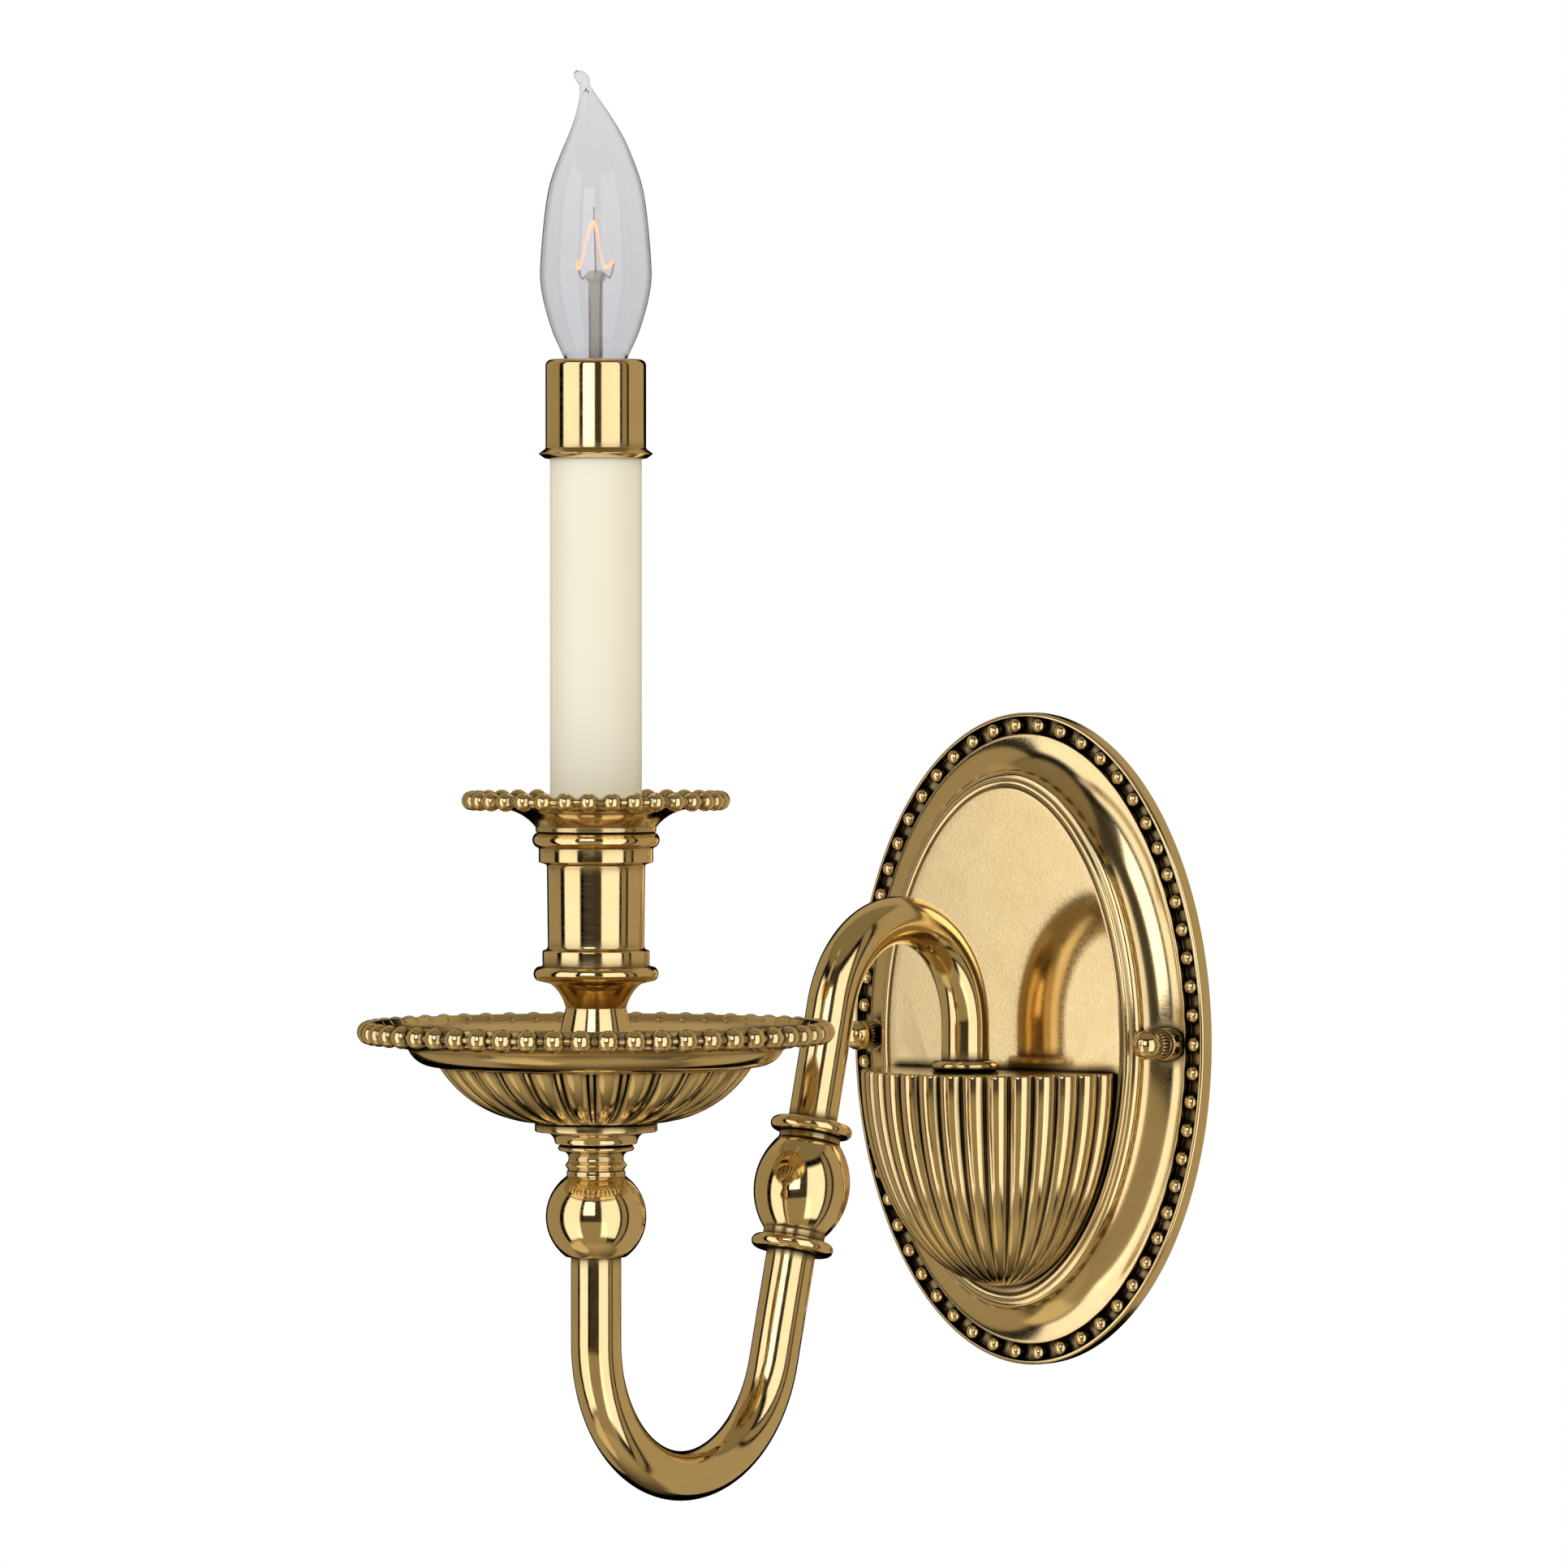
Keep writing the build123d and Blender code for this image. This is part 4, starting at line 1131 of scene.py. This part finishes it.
def coiled_filament():
    """A fine coil hung in two slack loops from the hook to the support wires."""
    low_point = filament_z - filament_drop
    zigzag = smooth_line(
        [
            (0.4 - support_reach, 0, low_point),
            (-0.62 * support_reach, -1.6, low_point - 1.2),
            (-0.22 * support_reach, -1.2, filament_z - 2.6),
            (0, -0.8, filament_z),
            (0.22 * support_reach, -1.2, filament_z - 2.6),
            (0.62 * support_reach, -1.6, low_point - 1.2),
            (support_reach - 0.4, 0, low_point),
        ],
        150,
    )
    turns = np.linspace(0, 2 * pi * 62, len(zigzag))[:, None]
    along = np.gradient(zigzag, axis=0)
    along /= np.linalg.norm(along, axis=1, keepdims=True)
    side = np.cross(along, (0, 1, 0))
    side /= np.linalg.norm(side, axis=1, keepdims=True)
    coil = zigzag + 0.34 * (np.cos(turns) * side + np.sin(turns) * np.cross(along, side))
    return swept(coil, 0.11, (0.3, 1, 0.2), steps=6)


piece(
    "lamp_coiled_filament", [coiled_filament()], "lamp_filament", finishes["filament_metal"],
    "lamp", column,
)

# ---- camera ----------------------------------------------------------------------------
view_heading = radians(39.2)
view_drop = radians(0.865)
view_distance = 2.36
lens_length = 205.0
centre_of_frame = (Vector(cad_box[0]) + Vector(cad_box[1])) / 2
aim = centre_of_frame + Vector((2.9, 11.15, 1.1)) * MM
view_way = Vector(
    (
        -sin(view_heading) * cos(view_drop),
        cos(view_heading) * cos(view_drop),
        -sin(view_drop),
    )
)
camera_data = bpy.data.cameras.new("camera")
camera_data.lens = lens_length
camera_data.sensor_width = 36.0
camera_data.clip_end = 30.0
camera = bpy.data.objects.new("camera", camera_data)
camera.location = aim - view_way * view_distance
camera.rotation_euler = view_way.to_track_quat("-Z", "Y").to_euler()
bpy.context.scene.collection.objects.link(camera)
bpy.context.scene.camera = camera

# ---- studio ----------------------------------------------------------------------------
floor_drop = 1.0            # floor below the lowest point of the sconce
floor_size = 2.6


def studio_floor():
    """A plain pale floor under the sconce, outside the main view."""
    half = floor_size / 2
    z = cad_box[0][2] - floor_drop
    middle = centre_of_frame.y
    mesh = bpy.data.meshes.new("floor")
    near = middle - half
    far = middle + half
    corners = [(-half, near), (half, near), (half, far), (-half, far)]
    mesh.from_pydata([(x, y, z) for x, y in corners], [], [(0, 1, 2, 3)])
    floor = bpy.data.objects.new("studio_floor", mesh)
    bpy.context.scene.collection.objects.link(floor)
    material, tree, shader = blank_material("pale_floor", Roughness=0.7)
    cloud = stretched_noise(tree, (1, 1, 1), 3.0)
    tone = mixed(tree, cloud, (0.84, 0.83, 0.81, 1), (0.88, 0.87, 0.85, 1))
    tree.links.new(tone, shader.inputs["Base Color"])
    mesh.materials.append(material)
    floor.visible_glossy = False


def band(tree, value, start, end, blur):
    """1 between two values and 0 outside them, with soft edges."""
    rise = ranged(tree, value, start - blur, start + blur, 0, 1, smooth=True)
    fall = ranged(tree, value, end - blur, end + blur, 1, 0, smooth=True)
    return maths(tree, "MULTIPLY", rise, fall)


def patch(tree, strength, *bands):
    """A lit patch of the studio, where all its bands meet."""
    total = bands[0]
    for other in bands[1:]:
        total = maths(tree, "MULTIPLY", total, other)
    return maths(tree, "MULTIPLY", total, strength)


def glow(tree, lights, colour):
    """The background light of several patches of one colour."""
    total = lights[0]
    for light in lights[1:]:
        total = maths(tree, "MAXIMUM", total, light)
    return node(tree, "Background", {"Color": colour, "Strength": total}).outputs[0]


def studio_light():
    """Two tall softboxes beside the camera, in a dim warm room with a table below.

    The room is seen in the brass, with a dim gap behind the camera and darkness behind the
    sconce. The camera itself looks at a plain white backdrop, which is a pale grey through the
    lamp's glass. Matt surfaces also get a soft light from above.
    """
    world = bpy.data.worlds.new("studio")
    world.use_nodes = True
    bpy.context.scene.world = world
    tree = world.node_tree
    way = node(tree, "TexCoord").outputs["Generated"]
    ahead = (sin(view_heading), -cos(view_heading), 0)
    right = (cos(view_heading), sin(view_heading), 0)
    forwards = node(tree, "VectorMath", {0: way, 1: ahead}, operation="DOT_PRODUCT").outputs["Value"]
    across = node(tree, "VectorMath", {0: way, 1: right}, operation="DOT_PRODUCT").outputs["Value"]
    height = node(tree, "SeparateXYZ", {0: way}).outputs["Z"]
    heading = maths(tree, "ARCTAN2", across, forwards)
    heading = maths(tree, "MULTIPLY", heading, degrees(1))
    rise = maths(tree, "MULTIPLY", maths(tree, "ARCSINE", height), degrees(1))
    from_middle = maths(tree, "ABSOLUTE", maths(tree, "ADD", heading, 8.0))
    table_side = maths(tree, "ADD", from_middle, maths(tree, "MULTIPLY", rise, 0.25))
    lamp_height = band(tree, rise, -44, 38, 3)
    wall_height = band(tree, rise, -60, 50, 8)
    softboxes = [
        patch(tree, 1.35, band(tree, heading, -78.2, -37, 1.6), lamp_height),
        patch(tree, 1.35, band(tree, heading, 14, 58, 1.0), lamp_height),
    ]
    room = [
        patch(tree, 0.34, band(tree, heading, 64, 77, 1.0), wall_height),
        patch(tree, 0.46, band(tree, heading, 83, 143, 2.0), wall_height),
        patch(tree, 0.38, band(tree, heading, -150, -91, 2.0), wall_height),
        patch(tree, 0.26, band(tree, rise, 50, 100, 3)),
        patch(tree, 0.45, band(tree, rise, 28, 70, 6), ranged(tree, forwards, -0.3, -0.45, 0.0, 1.0)),
        patch(tree, 0.36, band(tree, table_side, -100, 30, 1.5), band(tree, rise, -100, -9, 1.5)),
        patch(tree, 0.46, band(tree, rise, -100, -56, 8), ranged(tree, forwards, -0.35, 0.3, 0.2, 1.0)),
        patch(tree, 0.75, band(tree, heading, -105, -50, 6), band(tree, rise, -78, -47, 4)),
        patch(tree, 0.05, band(tree, heading, -27, 12, 3.0), band(tree, rise, -9, 50, 1.5)),
    ]
    path = node(tree, "LightPath")
    overhead = patch(
        tree, 0.75, band(tree, rise, 20, 100, 5), path.outputs["Is Diffuse Ray"]
    )
    softboxes.append(overhead)
    lights = node(
        tree, "AddShader",
        {
            0: glow(tree, softboxes, (1.0, 0.97, 0.90, 1)),
            1: glow(tree, room, (1.0, 0.82, 0.50, 1)),
        },
    )
    through = node(tree, "Background", {"Color": (0.76, 0.76, 0.775, 1), "Strength": 1.0})
    backdrop = node(tree, "Background", {"Color": (1, 1, 1, 1), "Strength": 1.0})
    seen = node(
        tree, "MixShader",
        {0: path.outputs["Is Transmission Ray"], 1: lights.outputs[0], 2: through.outputs[0]},
    )
    sky = node(
        tree, "MixShader",
        {0: path.outputs["Is Camera Ray"], 1: seen.outputs[0], 2: backdrop.outputs[0]},
    )
    tree.links.new(sky.outputs[0], tree.nodes["World Output"].inputs["Surface"])


def light_card(name, heading, distance, width, bottom, top, strength):
    """An upright glowing card that faces the candle, seen only in reflections."""
    turn = view_heading + heading
    way = Vector((sin(turn), -cos(turn), 0))
    middle = Vector((0, candle_y * MM, 0)) + way * distance
    side = Vector((cos(turn), sin(turn), 0)) * width / 2
    corners = [
        middle - side + Vector((0, 0, bottom)),
        middle + side + Vector((0, 0, bottom)),
        middle + side + Vector((0, 0, top)),
        middle - side + Vector((0, 0, top)),
    ]
    mesh = bpy.data.meshes.new(name)
    mesh.from_pydata([tuple(c) for c in corners], [], [(0, 1, 2, 3)])
    card = bpy.data.objects.new(name, mesh)
    bpy.context.scene.collection.objects.link(card)
    card.visible_camera = False
    card.visible_transmission = False
    card.visible_shadow = False
    material = blank_material(
        name, Base_Color=(0, 0, 0, 1), Emission_Color=(1, 1, 1, 1), Emission_Strength=strength
    )[0]
    mesh.materials.append(material)


studio_floor()
studio_light()
light_card("window_card", radians(-15), 1.2, 0.56, 0.086, 0.83, 2.2)
bpy.context.scene.view_settings.view_transform = "Standard"

bpy.context.view_layer.update()
